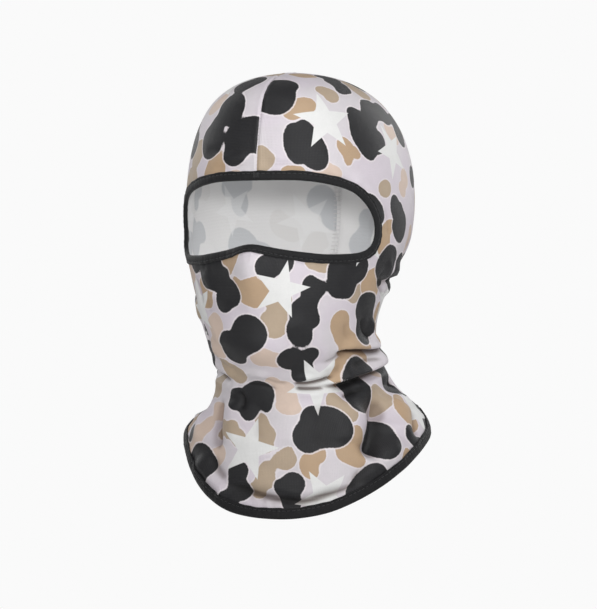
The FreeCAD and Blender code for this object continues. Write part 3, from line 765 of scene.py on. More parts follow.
# where the cloth bends tightly the reverse is kept from folding through it
ea, eb = [], []
for f in faces:
    ea += list(f)
    eb += list(f[1:] + f[:1])
ea, eb = np.array(ea), np.array(eb)
dv = verts[eb] - verts[ea]
bend = np.sum((VN[eb] - VN[ea]) * dv, 1) / np.maximum(np.sum(dv * dv, 1), 1e-9)
worst = np.zeros(n_out)
np.maximum.at(worst, ea, bend)
np.maximum.at(worst, eb, bend)
spread_ = worst.copy()
np.maximum.at(spread_, ea, 0.8 * worst[eb])
np.maximum.at(spread_, eb, 0.8 * worst[ea])
thick = np.minimum(thick, np.maximum(0.18 / np.maximum(spread_, 1e-6), 0.06))
inner = verts - thick[:, None] * VN
remap = -np.ones(n_out, int)
remap[used] = np.arange(used.sum())
nu = int(used.sum())
all_v = np.vstack([verts[used], inner[used]])
f_out = [tuple(remap[list(f)]) for f in faces]
f_in = [tuple(int(remap[v]) + nu for v in reversed(f)) for f in faces]
count = set()
for f in f_out:
    for a, b in zip(f, f[1:] + f[:1]):
        count.add((a, b))
rims = [(b, a, a + nu, b + nu) for (a, b) in count if (b, a) not in count]
all_f = f_out + f_in + rims
mat_index = [0] * len(f_out) + [1] * len(f_in) + [1] * len(rims)

me = bpy.data.meshes.new("knit_hood_shell")
me.from_pydata([tuple(v) for v in all_v * MM], [], [tuple(int(i) for i in f) for f in all_f])
me.polygons.foreach_set("material_index", np.array(mat_index, np.int32))
me.polygons.foreach_set("use_smooth", np.ones(len(all_f), bool))
two = lambda a: np.concatenate([a[used], a[used]])
for name, key in (("print_black", "K"), ("print_black_top", "O"), ("print_tan", "T"), ("print_khaki", "H"),
                  ("print_peach", "P")):
    add_float(me, name, two(np.clip(LAYERS[key], -FAR, FAR)))
add_float(me, "star_m", two(star_m))
# attributes carrying the painted shade for creases and fold hollows
add_float(me, "painted_crease_shade", two(vcrease_shade))
add_float(me, "painted_hollow_shade", two(vhollow_shade))
add_vector(me, "star_uv", np.hstack([np.vstack([star_uv[used]] * 2), np.zeros((2 * nu, 1))]))
arc_u = np.concatenate([[0.0], np.broadcast_to(ARC[None, :], GS.shape).reshape(-1)])
add_vector(me, "rest_co", np.vstack([verts0[used]] * 2))
# knit coordinates in mm: round the head, and down it
down = vs * 17.2
uv = me.uv_layers.new(name="knit_mm")
loop_v = np.zeros(len(me.loops), np.int32)
me.loops.foreach_get("vertex_index", loop_v)
src = np.concatenate([np.where(used)[0], np.where(used)[0]])
lu = arc_u[src[loop_v]].copy()
lv = down[src[loop_v]]
# keep each face on one side of the back seam
starts = np.zeros(len(me.polygons), np.int32)
totals = np.zeros(len(me.polygons), np.int32)
me.polygons.foreach_get("loop_start", starts)
me.polygons.foreach_get("loop_total", totals)
TOTAL_ARC = float(ARC.max()) * 2
for a, n in zip(starts, totals):
    seg = lu[a:a + n]
    if seg.max() - seg.min() > TOTAL_ARC * 0.4:
        seg[seg < 0] += TOTAL_ARC
uv.data.foreach_set("uv", np.stack([lu, lv], 1).astype(np.float32).ravel())
me.update()
hood = bpy.data.objects.new("knit_hood", me)
bpy.context.scene.collection.objects.link(hood)


# ------------------------------------------------------------------
# Folded bindings
def binding_profile(width, n=44):
    """Rounded C section as (w into the cloth, d off its face), closed."""
    g, b, T = 0.10, 0.98, KNIT_T
    w = width - FOLD_IN
    wi = w - 0.8
    ctl = [(w - 0.1, g + 0.02), (w + 0.18, g + 0.45 * b), (w - 0.05, g + b),
           (w - 0.8, g + b + 0.16), (w - 1.45, g + b + 0.10), (w - 1.95, g + b - 0.34), (w - 2.5, g + b + 0.12),
           (0.50 * w, g + b + 0.26), (0.25 * w, g + b + 0.26), (0.3, g + b + 0.12), (-0.75, g + 0.80 * b),
           (-1.35, -0.5 * T), (-0.75, -T - g - 0.80 * b), (0.5, -T - g - b - 0.1),
           (0.45 * w, -T - g - b - 0.12), (wi - 0.5, -T - g - b), (wi + 0.1, -T - g - 0.5 * b),
           (wi - 0.5, -T - g), (0.45 * w, -T - g), (0.6, -T - g), (-0.35, -T - g),
           (-0.62, -0.75 * T), (-0.62, -0.25 * T), (-0.35, g), (0.6, g), (0.45 * w, g)]
    c = np.array(ctl)
    m = len(c)
    out = []
    for u in np.linspace(0, m, n, endpoint=False):
        i, f = int(u), u - int(u)
        p = [c[(i + k) % m] for k in (-1, 0, 1, 2)]
        out.append(((1 - f) ** 3 * p[0] + (3 * f ** 3 - 6 * f * f + 4) * p[1]
                    + (-3 * f ** 3 + 3 * f * f + 3 * f + 1) * p[2] + f ** 3 * p[3]) / 6)
    return np.array(out)


def even_loop(t, s, n):
    """n evenly spaced (t, s) round a closed line on the skin."""
    tt = np.concatenate([t, [t[0] + (2 * math.pi if abs(t[-1] - t[0]) > 3 else 0)]])
    ss = np.concatenate([s, s[:1]])
    p = skin(tt, ss)
    L = np.concatenate([[0], np.cumsum(np.linalg.norm(np.diff(p, axis=0), axis=1))])
    want = np.linspace(0, L[-1], n, endpoint=False)
    return np.interp(want, L, tt), np.interp(want, L, ss), L[-1]


def walk(t, s, head, dist, step=0.8):
    """Move points along the skin, heading along head, by dist mm."""
    t, s = np.array(t, float), np.array(s, float)
    n = max(1, int(math.ceil(np.max(np.abs(dist)) / step)))
    h = dist / n
    d = head.copy()
    for _ in range(n):
        p, dt, ds, nn = frame_at(t, s)
        d = unit(d - nn * np.sum(d * nn, -1, keepdims=True))
        q = d * np.asarray(h)[..., None] if np.ndim(h) else d * h
        a, b, c = np.sum(dt * dt, -1), np.sum(dt * ds, -1), np.sum(ds * ds, -1)
        r1, r2 = np.sum(q * dt, -1), np.sum(q * ds, -1)
        det = a * c - b * b
        t = t + (c * r1 - b * r2) / det
        s = s + (a * r2 - b * r1) / det
    return t, s


def edge_frames(t, s, total):
    p = skin(t, s)
    d = unit(np.roll(p, -1, 0) - np.roll(p, 1, 0))
    _, _, _, n = frame_at(t, s)
    m = np.cross(n, d)
    q = skin(*walk(t[:1], s[:1], m[:1], 3.0))
    if q[0, 2] < p[0, 2]:
        m = -m
    return d, m, n


def on_cloth(t, s, m, w, d):
    """A point w mm in from an edge and d mm off the face of the cloth."""
    t2, s2 = walk(t, s, m, w) if abs(w) > 1e-6 else (t, s)
    p, _, _, n = frame_at(t2, s2)
    r = relief(t2, s2, p)
    return p + (r + d)[..., None] * n


def binding_mesh(name, t, s, total, width, waver, seed):
    n = len(t)
    d, m, nn = edge_frames(t, s, total)
    prof = binding_profile(width)
    rings = []
    u = np.arange(n) / n * total
    swell = 1 + 0.05 * np.sin(u * 0.9 + seed) * np.sin(u * 0.13 + 1.3 * seed) \
        + 0.06 * np.sin(u * 2 * math.pi / 3.6)
    widen = 1 + 0.03 * np.sin(u * 0.21 + seed) + 0.02 * np.sin(u * 0.57)
    for w, h in prof:
        if h > -0.4 * KNIT_T:
            hh = np.where(h > 0.3, 0.12 + (h - 0.12) * swell, h) if np.ndim(h) == 0 else h
        else:
            hh = np.full(n, h)
        ww = w * widen if w > 2 else np.full(n, w)
        t2, s2 = walk(t, s, m, ww)
        p, _, _, nrm = frame_at(t2, s2)
        r = relief(t2, s2, p)
        rings.append(p + (r + hh)[..., None] * nrm)
    V = np.stack(rings, 1)                                    # n x profile x 3
    k = len(prof)
    F = []
    for i in range(n):
        i2 = (i + 1) % n
        for j in range(k):
            j2 = (j + 1) % k
            F.append((i * k + j, i2 * k + j, i2 * k + j2, i * k + j2))
    me = bpy.data.meshes.new(name)
    me.from_pydata([tuple(v) for v in V.reshape(-1, 3) * MM], [], F)
    me.polygons.foreach_set("use_smooth", np.ones(len(F), bool))
    uvl = me.uv_layers.new(name="knit_mm")
    across = np.concatenate([[0], np.cumsum(np.linalg.norm(np.diff(prof, axis=0), axis=1))])
    last = across[-1] + np.linalg.norm(prof[0] - prof[-1])
    uvs = []
    for i in range(n):
        for j in range(k):
            a0 = across[j]
            a1 = across[j + 1] if j + 1 < k else last
            u0, u1 = total * i / n, total * (i + 1) / n
            uvs += [(u0, a0), (u1, a0), (u1, a1), (u0, a1)]
    uvl.data.foreach_set("uv", np.array(uvs, np.float32).ravel())
    ob = bpy.data.objects.new(name, me)
    bpy.context.scene.collection.objects.link(ob)
    me.update()
    fix_normals(ob)
    return ob


def fix_normals(ob):
    import bmesh
    bm = bmesh.new()
    bm.from_mesh(ob.data)
    bmesh.ops.recalc_face_normals(bm, faces=bm.faces)
    bm.to_mesh(ob.data)
    bm.free()
    ob.data.update()


EN = 400
HN = 520
et, es, EYE_LEN = even_loop(EYE_T, s_of_z(EYE_Z), EN)
th = np.linspace(-math.pi, math.pi, 721)[:-1]
ht, hs, HEM_LEN = even_loop(th, s_of_z(hem_z(np.degrees(th)) + FOLD_IN), HN)
EYE_W, HEM_W = 6.5, 7.7
eye_bind = binding_mesh("eye_opening_binding", et, es, EYE_LEN, EYE_W, 0.2, 1.7)
hem_bind = binding_mesh("hem_edge_binding", ht, hs, HEM_LEN, HEM_W, 0.2, 4.1)


# ------------------------------------------------------------------
# Thread
def tube(points, radius, sides=7, twist=0.0, flat=1.0):
    """A closed, round-ended thread through points."""
    P = np.array(points, float)
    n = len(P)
    T = unit(np.gradient(P, axis=0))
    ref = np.array([0.3, 0.2, 0.93])
    V, F = [], []
    a = unit(np.cross(T[0], ref))
    for i in range(n):
        a = unit(a - T[i] * (a @ T[i]))
        b = np.cross(T[i], a)
        e = i / (n - 1.0)
        r = radius * math.sqrt(max(0.0, 1 - max(0.0, abs(2 * e - 1) - 0.62) ** 2 / 0.38 ** 2 * 0.93))
        for k in range(sides):
            g = 2 * math.pi * k / sides + twist * i
            V.append(P[i] + r * (math.cos(g) * a + math.sin(g) * b) * 1.0)
    for i in range(n - 1):
        for k in range(sides):
            k2 = (k + 1) % sides
            F.append((i * sides + k, i * sides + k2, (i + 1) * sides + k2, (i + 1) * sides + k))
    V.append(P[0] - T[0] * radius * 0.35)
    V.append(P[-1] + T[-1] * radius * 0.35)
    c0, c1 = len(V) - 2, len(V) - 1
    for k in range(sides):
        k2 = (k + 1) % sides
        F.append((c0, k2, k))
        F.append((c1, (n - 1) * sides + k, (n - 1) * sides + k2))
    return np.array(V), F


def thread_object(name, paths, radius, sides=7):
    VV, FF, o = [], [], 0
    for p in paths:
        v, f = tube(p, radius, sides)
        VV.append(v)
        FF += [tuple(i + o for i in q) for q in f]
        o += len(v)
    me = bpy.data.meshes.new(name)
    me.from_pydata([tuple(v) for v in np.vstack(VV) * MM], [], FF)
    me.polygons.foreach_set("use_smooth", np.ones(len(FF), bool))
    me.update()
    ob = bpy.data.objects.new(name, me)
    bpy.context.scene.collection.objects.link(ob)
    fix_normals(ob)
    return ob


def loop_at(t, s, total, dist):
    n = len(t)
    u = (np.asarray(dist) / total * n) % n
    i = np.floor(u).astype(int) % n
    f = u - np.floor(u)
    j = (i + 1) % n
    dt = (t[j] - t[i] + math.pi) % (2 * math.pi) - math.pi
    return t[i] + f * dt, s[i] + f * (s[j] - s[i]), i


def stitch_paths(t, s, total, w, h, pitch=3.6, length=2.75, sag=0.30, zig=0.0):
    d, m, nn = edge_frames(t, s, total)
    n = int(round(total / pitch))
    pitch = total / n
    k = np.linspace(0, 1, 7)
    dist = (np.arange(n)[:, None] * pitch + k[None, :] * length)
    tt, ss, ii = loop_at(t, s, total, dist.ravel())
    mm = m[ii]
    side = (np.tile(2 * k - 1, n) * np.repeat(np.where(np.arange(n) % 2, 1, -1), 7)) * zig
    t2, s2 = walk(tt, ss, mm, w + side)
    p, _, _, nrm = frame_at(t2, s2)
    r = relief(t2, s2, p)
    hh = h - sag * np.tile((2 * k - 1) ** 4, n)
    P = p + (r + hh)[:, None] * nrm
    return P.reshape(n, 7, 3)


def tack_paths(t, s, total, at, w0, w1, h, bars=7, step=0.55):
    d, m, nn = edge_frames(t, s, total)
    out = []
    for b in range(bars):
        dist = (at + (b - (bars - 1) / 2) * step) % total
        k = np.linspace(0, 1, 7)
        tt, ss, ii = loop_at(t, s, total, np.full(7, dist))
        t2, s2 = walk(tt, ss, m[ii], w0 + (w1 - w0) * k)
        p, _, _, nrm = frame_at(t2, s2)
        r = relief(t2, s2, p)
        hh = h - 0.28 * (2 * k - 1) ** 4 + 0.05 * math.sin(b * 2.1)
        out.append(p + (r + hh)[:, None] * nrm)
    return out


TOP = 0.10 + 0.98
eye_stitch = thread_object("eye_binding_thread", stitch_paths(et, es, EYE_LEN, EYE_W - FOLD_IN - 1.92, TOP - 0.02),
                           0.24)
hem_stitch = thread_object("hem_binding_thread", stitch_paths(ht, hs, HEM_LEN, HEM_W - FOLD_IN - 1.92, TOP - 0.02),
                           0.26)
eye_tack = thread_object("eye_binding_tack", tack_paths(et, es, EYE_LEN, 0.0, 0.4, 4.6, TOP + 0.30), 0.20)
hem_tack = thread_object("hem_binding_tack", tack_paths(ht, hs, HEM_LEN, 0.0, 0.5, 5.4, TOP + 0.30), 0.20)

# centre seam: bars of overlock inside, and the small bars that show outside
s_front = float(s_of_z(EYE[0][1]))
line_t, line_s = [], []
for k in range(900):
    u = k / 899.0
    if u < 0.36:
        line_t.append(0.0)
        line_s.append(s_front - 0.28 + (0.03 - s_front + 0.28) * (u / 0.36))
    else:
        line_t.append(math.pi)
        line_s.append(0.03 + (float(s_of_z(hem_z(180.0))) - 0.50 - 0.03) * ((u - 0.36) / 0.64))
line_t, line_s = np.array(line_t), np.array(line_s)
LP, _, _, LN = frame_at(line_t, line_s)
LR = relief(line_t, line_s, LP)
LP2 = LP + LR[:, None] * LN
LL = np.concatenate([[0], np.cumsum(np.linalg.norm(np.diff(LP2, axis=0), axis=1))])


def seam_point(dist, x, h):
    """Point at a distance along the seam, x mm to its side, h mm off it."""
    p = np.array([np.interp(dist, LL, LP2[:, k]) for k in range(3)])
    n = unit(np.array([np.interp(dist, LL, LN[:, k]) for k in range(3)]))
    a = np.array([np.interp(dist - 0.5, LL, LP2[:, k]) for k in range(3)])
    b = np.array([np.interp(dist + 0.5, LL, LP2[:, k]) for k in range(3)])
    d = unit(b - a)
    x_dir = np.array([1.0, 0, 0])
    return p + x_dir * x + n * (h - x * x * 0.005), d, n


outer_bars, inner_loops = [], []
pitch = 2.6
for k in range(int((LL[-1] - 1.0) / pitch)):
    c = 0.8 + k * pitch
    q = []
    for e in np.linspace(-1, 1, 7):
        p, d, n = seam_point(c, e * 0.62, 0.10 - 0.16 * e ** 4)
        q.append(p + d * 0.45 * e)
    outer_bars.append(np.array(q))
pitch = 3.4
for k in range(int((LL[-1] - 8.0) / pitch)):
    c = 6.0 + k * pitch
    q = []
    for e in np.linspace(0, 1, 15):
        x = 3.1 * math.cos(math.pi * 2 * e)
        along = 0.75 * math.sin(math.pi * 2 * e) + pitch * 0.75 * (e - 0.5)
        p, d, n = seam_point(c + along, 0.0, -(KNIT_T + 0.75) - 0.24)
        q.append(p + np.array([x, 0, 0]) + n * (x * x * 0.004 + 0.30 * (abs(x) > 2.4) - 0.12 * math.cos(4 * math.pi * e)))
    inner_loops.append(np.array(q))
seam_out = thread_object("centre_seam_thread_outside", outer_bars, 0.11, 6)
seam_in = thread_object("centre_seam_thread_inside", inner_loops, 0.20, 6)

# ------------------------------------------------------------------
# Care label: a folded satin loop, blank, turning on its sewn edge
llo, lhi = BOX["care_label"]
hinge = None
for j in frame["joints"]:
    if j["name"] == "care_label_hinge":
        hinge = np.array(j["pos_m"]) / MM
LAB_L, LAB_H = 28.0, (lhi[2] - llo[2]) / MM
tip = np.array([lhi[0] / MM, llo[1] / MM])
ang = math.atan2(tip[1] - hinge[1], tip[0] - hinge[0])
ax = np.array([math.cos(ang), math.sin(ang), 0.0])
ay = np.array([-math.sin(ang), math.cos(ang), 0.0])
nu_, nv_ = 30, 20
path = []
for e in np.linspace(0, 1, nu_):           # out along one leaf, round the fold, back along the other
    path.append((0.6 + (LAB_L - 0.9) * e, 0.20))
for a in np.linspace(math.pi / 2, -math.pi / 2, 7)[1:-1]:
    path.append((LAB_L - 0.3 + 0.20 * math.cos(a), 0.20 * math.sin(a)))
for e in np.linspace(1, 0, nu_):
    path.append((0.6 + (LAB_L - 0.9) * e, -0.20))
path = np.array(path)
V, F = [], []
for side in (0.10, -0.10):
    for i, (x, y) in enumerate(path):
        tx = path[min(i + 1, len(path) - 1)] - path[max(i - 1, 0)]
        nx = np.array([-tx[1], tx[0]]) / max(np.linalg.norm(tx), 1e-9)
        for j in range(nv_ + 1):
            zz = (j / nv_ - 0.5) * LAB_H
            curl = 0.9 * math.sin(x / LAB_L * 2.6) * (x / LAB_L) + 0.35 * math.sin(zz * 0.33 + 1) * (x / LAB_L) ** 2
            xx = x + nx[0] * side * 0.8
            yy = y + nx[1] * side * 0.8 + curl
            V.append(hinge + ax * xx + ay * yy + np.array([0, 0, zz]))
m_ = len(path)
w_ = nv_ + 1
for i in range(m_ - 1):
    for j in range(nv_):
        F.append((i * w_ + j, (i + 1) * w_ + j, (i + 1) * w_ + j + 1, i * w_ + j + 1))
        o = m_ * w_
        F.append((o + i * w_ + j + 1, o + (i + 1) * w_ + j + 1, o + (i + 1) * w_ + j, o + i * w_ + j))
o = m_ * w_
for i in range(m_ - 1):
    F.append((i * w_, o + i * w_, o + (i + 1) * w_, (i + 1) * w_))
    F.append((i * w_ + nv_, (i + 1) * w_ + nv_, o + (i + 1) * w_ + nv_, o + i * w_ + nv_))
for j in range(nv_):
    F.append((j, j + 1, o + j + 1, o + j))
    b = (m_ - 1) * w_
    F.append((b + j + 1, b + j, o + b + j, o + b + j + 1))
me = bpy.data.meshes.new("satin_label")
me.from_pydata([tuple(v * MM) for v in V], [], F)
me.polygons.foreach_set("use_smooth", np.ones(len(F), bool))
me.update()
label = bpy.data.objects.new("satin_label", me)
bpy.context.scene.collection.objects.link(label)
fix_normals(label)

tacks = []
slo, shi = BOX["care_label_stitches"]
for k in range(6):
    z0 = slo[2] / MM + 0.6 + k * (shi[2] - slo[2]) / MM / 6.0
    y0 = (slo[1] + shi[1]) / 2 / MM
    tacks.append(np.array([(0.15 * math.sin(e * 3), y0 - 0.1 + 0.25 * (2 * e - 1) ** 4, z0 + 2.0 * e)
                           for e in np.linspace(0, 1, 7)]))
label_thread = thread_object("label_thread", tacks, 0.2, 6)


# ------------------------------------------------------------------
# Materials
class Nodes:
    """Small helper that builds shader maths."""

    def __init__(self, name):
        self.mat = bpy.data.materials.new(name)
        self.mat.use_nodes = True
        self.t = self.mat.node_tree
        self.t.nodes.clear()
        self.out = self.t.nodes.new("ShaderNodeOutputMaterial")

    def put(self, sock, v):
        if hasattr(v, "links"):
            self.t.links.new(v, sock)
        elif isinstance(v, (tuple, list)) and len(v) == 3 and sock.type == "RGBA":
            sock.default_value = (*v, 1.0)
        else:
            sock.default_value = v

    def m(self, op, a, b=None, c=None, clamp=False):
        n = self.t.nodes.new("ShaderNodeMath")
        n.operation = op
        n.use_clamp = clamp
        for k, v in enumerate((a, b, c)):
            if v is not None:
                self.put(n.inputs[k], v)
        return n.outputs[0]

    def add(self, a, b):
        return self.m("ADD", a, b)

    def sub(self, a, b):
        return self.m("SUBTRACT", a, b)

    def mul(self, a, b):
        return self.m("MULTIPLY", a, b)

    def attr(self, name, vector=False):
        n = self.t.nodes.new("ShaderNodeAttribute")
        n.attribute_type = "GEOMETRY"
        n.attribute_name = name
        return n.outputs["Vector"] if vector else n.outputs["Fac"]

    def uv(self, name):
        n = self.t.nodes.new("ShaderNodeUVMap")
        n.uv_map = name
        return n.outputs[0]

    def xyz(self, v):
        n = self.t.nodes.new("ShaderNodeSeparateXYZ")
        self.put(n.inputs[0], v)
        return n.outputs

    def scale(self, v, k):
        n = self.t.nodes.new("ShaderNodeVectorMath")
        n.operation = "MULTIPLY"
        self.put(n.inputs[0], v)
        n.inputs[1].default_value = k if isinstance(k, tuple) else (k, k, k)
        return n.outputs[0]

    def noise(self, v, scale, detail=2.0, rough=0.5):
        n = self.t.nodes.new("ShaderNodeTexNoise")
        self.put(n.inputs["Vector"], v)
        n.inputs["Scale"].default_value = scale
        n.inputs["Detail"].default_value = detail
        n.inputs["Roughness"].default_value = rough
        return n.outputs["Fac"]

    def ramp(self, v, a, b, lo=0.0, hi=1.0):
        """lo..hi as v goes a..b, smooth."""
        n = self.t.nodes.new("ShaderNodeMapRange")
        n.interpolation_type = "SMOOTHSTEP"
        self.put(n.inputs["Value"], v)
        n.inputs["From Min"].default_value = a
        n.inputs["From Max"].default_value = b
        n.inputs["To Min"].default_value = lo
        n.inputs["To Max"].default_value = hi
        return n.outputs["Result"]

    def mix(self, f, a, b):
        n = self.t.nodes.new("ShaderNodeMix")
        n.data_type = "RGBA"
        ins = [s for s in n.inputs if s.enabled and s.type == "RGBA"]
        self.put([s for s in n.inputs if s.name == "Factor" and s.enabled][0], f)
        self.put(ins[0], a)
        self.put(ins[1], b)
        return [o for o in n.outputs if o.type == "RGBA"][0]

    def bump(self, h, dist, strength=1.0, normal=None):
        n = self.t.nodes.new("ShaderNodeBump")
        n.inputs["Strength"].default_value = strength
        n.inputs["Distance"].default_value = dist
        self.put(n.inputs["Height"], h)
        if normal is not None:
            self.put(n.inputs["Normal"], normal)
        return n.outputs[0]

    def surface(self, color, rough, normal=None, sheen=0.0, spec=0.35, sheen_rough=0.5, sheen_tint=(1, 1, 1)):
        n = self.t.nodes.new("ShaderNodeBsdfPrincipled")
        self.put(n.inputs["Base Color"], color)
        self.put(n.inputs["Roughness"], rough)
        n.inputs["Specular IOR Level"].default_value = spec
        n.inputs["Sheen Weight"].default_value = sheen
        n.inputs["Sheen Roughness"].default_value = sheen_rough
        self.put(n.inputs["Sheen Tint"], sheen_tint)
        if normal is not None:
            self.put(n.inputs["Normal"], normal)
        self.t.links.new(n.outputs[0], self.out.inputs["Surface"])
        return n


def lin(r, g, b):
    f = lambda c: (c / 255 / 12.92) if c / 255 <= 0.04045 else ((c / 255 + 0.055) / 1.055) ** 2.4
    return (f(r), f(g), f(b))


def jersey(g, uv, wale, course):
    """Height of a fine jersey knit: V-shaped loops in columns."""
    u, v, _ = g.xyz(uv)
    a = g.m("DIVIDE", u, wale)
    x = g.sub(g.m("FRACT", a), 0.5)
    ax = g.m("ABSOLUTE", x)
    y = g.add(g.m("DIVIDE", v, course), g.mul(ax, 1.15))
    wave = g.m("COSINE", g.mul(y, 2 * math.pi))
    col = g.m("COSINE", g.mul(x, 2 * math.pi))
    return g.add(g.mul(wave, 0.42), g.mul(col, 0.5))


def five_star(g, uv, inner=0.40):
    """Signed distance, in star radii, to a five-pointed star with a tip on +u."""
    x, y, _ = g.xyz(uv)
    ang = g.m("ARCTAN2", y, x)
    k = 2 * math.pi / 5
    fold = g.m("ABSOLUTE", g.sub(g.m("FLOORED_MODULO", g.add(ang, k / 2), k), k / 2))
    r = g.m("SQRT", g.add(g.mul(x, x), g.mul(y, y)))
    px = g.mul(r, g.m("COSINE", fold))
    py = g.mul(r, g.m("SINE", fold))
    nx, ny = inner * math.sin(k / 2), 1 - inner * math.cos(k / 2)
    L = math.hypot(nx, ny)
    return g.add(g.mul(g.sub(px, 1.0), nx / L), g.mul(py, ny / L))


LILAC = lin(205, 197, 205)
GREY = lin(204, 199, 203)
PEACH = lin(205, 185, 171)
KHAKI = lin(173, 155, 134)
TAN = lin(178, 152, 124)
INK = lin(24, 24, 27)
STAR_WHITE = lin(219, 219, 218)
EDGE_PALE = lin(222, 215, 218)


def print_masks(g):
    rest = g.attr("rest_co", True)
    edge = g.mul(g.sub(g.noise(rest, 0.55, 2.0), 0.5), 0.9)
    def soft(name, w=0.35):
        return g.ramp(g.add(g.attr(name), edge), -w, w, 1.0, 0.0)
    return rest, edge, soft


def printed_knit():
    g = Nodes("printed_knit_face")
    rest, edge, soft = print_masks(g)
    patch = g.ramp(g.noise(rest, 0.019, 2.5, 0.5), 0.40, 0.62)
    base = g.mix(patch, LILAC, GREY)
    # every patch is drawn with a thin pale edge round it
    def layer(c, name, colour, width=1.05, strength=0.75):
        v = g.add(g.attr(name), edge)
        ring = g.mul(g.ramp(v, width - 0.3, width + 0.3, 1.0, 0.0), strength)
        c = g.mix(ring, c, EDGE_PALE)
        shade = g.ramp(g.attr(name), -7.0, 0.0, 0.0, 0.16)
        inside = g.mix(shade, colour, tuple(0.82 * q for q in colour))
        return g.mix(g.ramp(v, -0.3, 0.3, 1.0, 0.0), c, inside)
    c = layer(base, "print_peach", PEACH, 0.8, 0.45)
    c = layer(c, "print_khaki", KHAKI, 0.9, 0.6)
    c = layer(c, "print_tan", TAN, 0.9, 0.6)
    c = layer(c, "print_black", INK)
    m = g.ramp(g.attr("star_m"), 1.03, 1.08, 1.0, 0.0)
    star = g.mul(g.ramp(five_star(g, g.attr("star_uv", True)), -0.008, 0.008, 1.0, 0.0), m)
    c = g.mix(star, c, STAR_WHITE)
    c = layer(c, "print_black_top", INK)
    uv = g.uv("knit_mm")
    knit = jersey(g, uv, 1.05, 0.84)
    # ink sits on the loops: the ground shows faintly between the columns
    between = g.mul(g.ramp(knit, -0.95, -0.3, 1.0, 0.0), 0.06)
    c = g.mix(between, c, lin(150, 146, 148))
    fuzz = g.noise(rest, 0.9, 3.0, 0.6)
    mott = g.mul(g.sub(g.noise(rest, 0.16, 3.0, 0.55), 0.5), 0.10)
    bright = g.add(1.0, g.add(mott, g.mul(g.sub(fuzz, 0.5), 0.08)))
    # painted shade: deep in pinched creases and just under lapped edges the colour is darkened, as shade falls there
    painted_crease_shade = g.ramp(g.attr("painted_crease_shade"), 0.10, 0.85, 0.0, 0.84)
    c = g.mix(painted_crease_shade, c, g.scale(c, (0.17, 0.125, 0.105)))
    # painted shade: the hollows of the folds are darkened in the colour
    painted_hollow_shade = g.ramp(g.attr("painted_hollow_shade"), 0.10, 2.8, 0.0, 0.62)
    c = g.mix(painted_hollow_shade, c, g.scale(c, (0.42, 0.37, 0.36)))
    hsv = g.t.nodes.new("ShaderNodeHueSaturation")
    g.put(hsv.inputs["Color"], c)
    g.put(hsv.inputs["Value"], bright)
    rough = g.add(g.add(0.52, g.mul(g.sub(fuzz, 0.5), 0.20)), g.mul(knit, -0.03))
    n1 = g.bump(g.noise(rest, 0.22, 3.0, 0.6), 0.0009, 0.22)
    n2 = g.bump(knit, 0.00012, 0.55, n1)
    g.surface(hsv.outputs[0], rough, n2, sheen=0.05, spec=0.36, sheen_rough=0.45)
    return g.mat


def knit_reverse():
    g = Nodes("printed_knit_reverse")
    rest, edge, soft = print_masks(g)
    base = g.mix(g.noise(rest, 0.03, 2.0), lin(224, 223, 223), lin(230, 229, 228))
    c = g.mix(g.mul(soft("print_tan", 0.8), 0.16), base, lin(190, 184, 178))
    c = g.mix(g.mul(soft("print_black", 0.9), 0.46), c, lin(150, 157, 165))
    c = g.mix(g.mul(soft("print_black_top", 0.9), 0.46), c, lin(150, 157, 165))
    m = g.ramp(g.attr("star_m"), 1.03, 1.08, 1.0, 0.0)
    star = g.mul(g.ramp(five_star(g, g.attr("star_uv", True)), -0.03, 0.03, 1.0, 0.0), m)
    c = g.mix(g.mul(star, 0.5), c, lin(236, 236, 236))
    uv = g.uv("knit_mm")
    u, v, _ = g.xyz(uv)
    # the reverse of jersey shows rows of round loop heads
    row = g.m("COSINE", g.mul(g.add(g.m("DIVIDE", v, 0.84), g.mul(g.m("COSINE", g.mul(u, 2 * math.pi / 1.05)), 0.22)),
                              2 * math.pi))
    fuzz = g.noise(rest, 0.9, 3.0, 0.6)
    n1 = g.bump(g.noise(rest, 0.2, 3.0, 0.6), 0.0008, 0.2)
    n2 = g.bump(g.add(row, g.mul(fuzz, 0.8)), 0.00012, 0.5, n1)
    g.surface(c, g.add(0.80, g.mul(g.sub(fuzz, 0.5), 0.2)), n2, sheen=0.3, spec=0.2)
    return g.mat


def binding_knit():
    g = Nodes("black_binding_knit")
    uv = g.uv("knit_mm")
    u, v, _ = g.xyz(uv)
    rib = g.m("COSINE", g.mul(u, 2 * math.pi / 0.95))
    zig = g.m("COSINE", g.mul(g.add(g.m("DIVIDE", v, 0.7), g.mul(rib, 0.18)), 2 * math.pi))
    n_ = g.noise(g.scale(uv, (1.0, 2.2, 1.0)), 0.8, 3.0, 0.6)
    slub = g.noise(uv, 0.10, 2.0)
    c = g.mix(n_, lin(13, 13, 15), lin(24, 24, 26))
    c = g.mix(g.mul(g.ramp(rib, 0.2, 1.0), 0.35), c, lin(31, 31, 33))
    c = g.mix(g.mul(slub, 0.25), c, lin(14, 14, 16))
    h = g.add(g.mul(rib, 0.6), g.add(g.mul(zig, 0.35), g.mul(n_, 0.5)))
    n1 = g.bump(slub, 0.0006, 0.3)
    n2 = g.bump(h, 0.00014, 0.7, n1)
    g.surface(c, g.add(0.66, g.mul(g.sub(n_, 0.5), 0.3)), n2, sheen=0.08, spec=0.3, sheen_rough=0.4)
    return g.mat


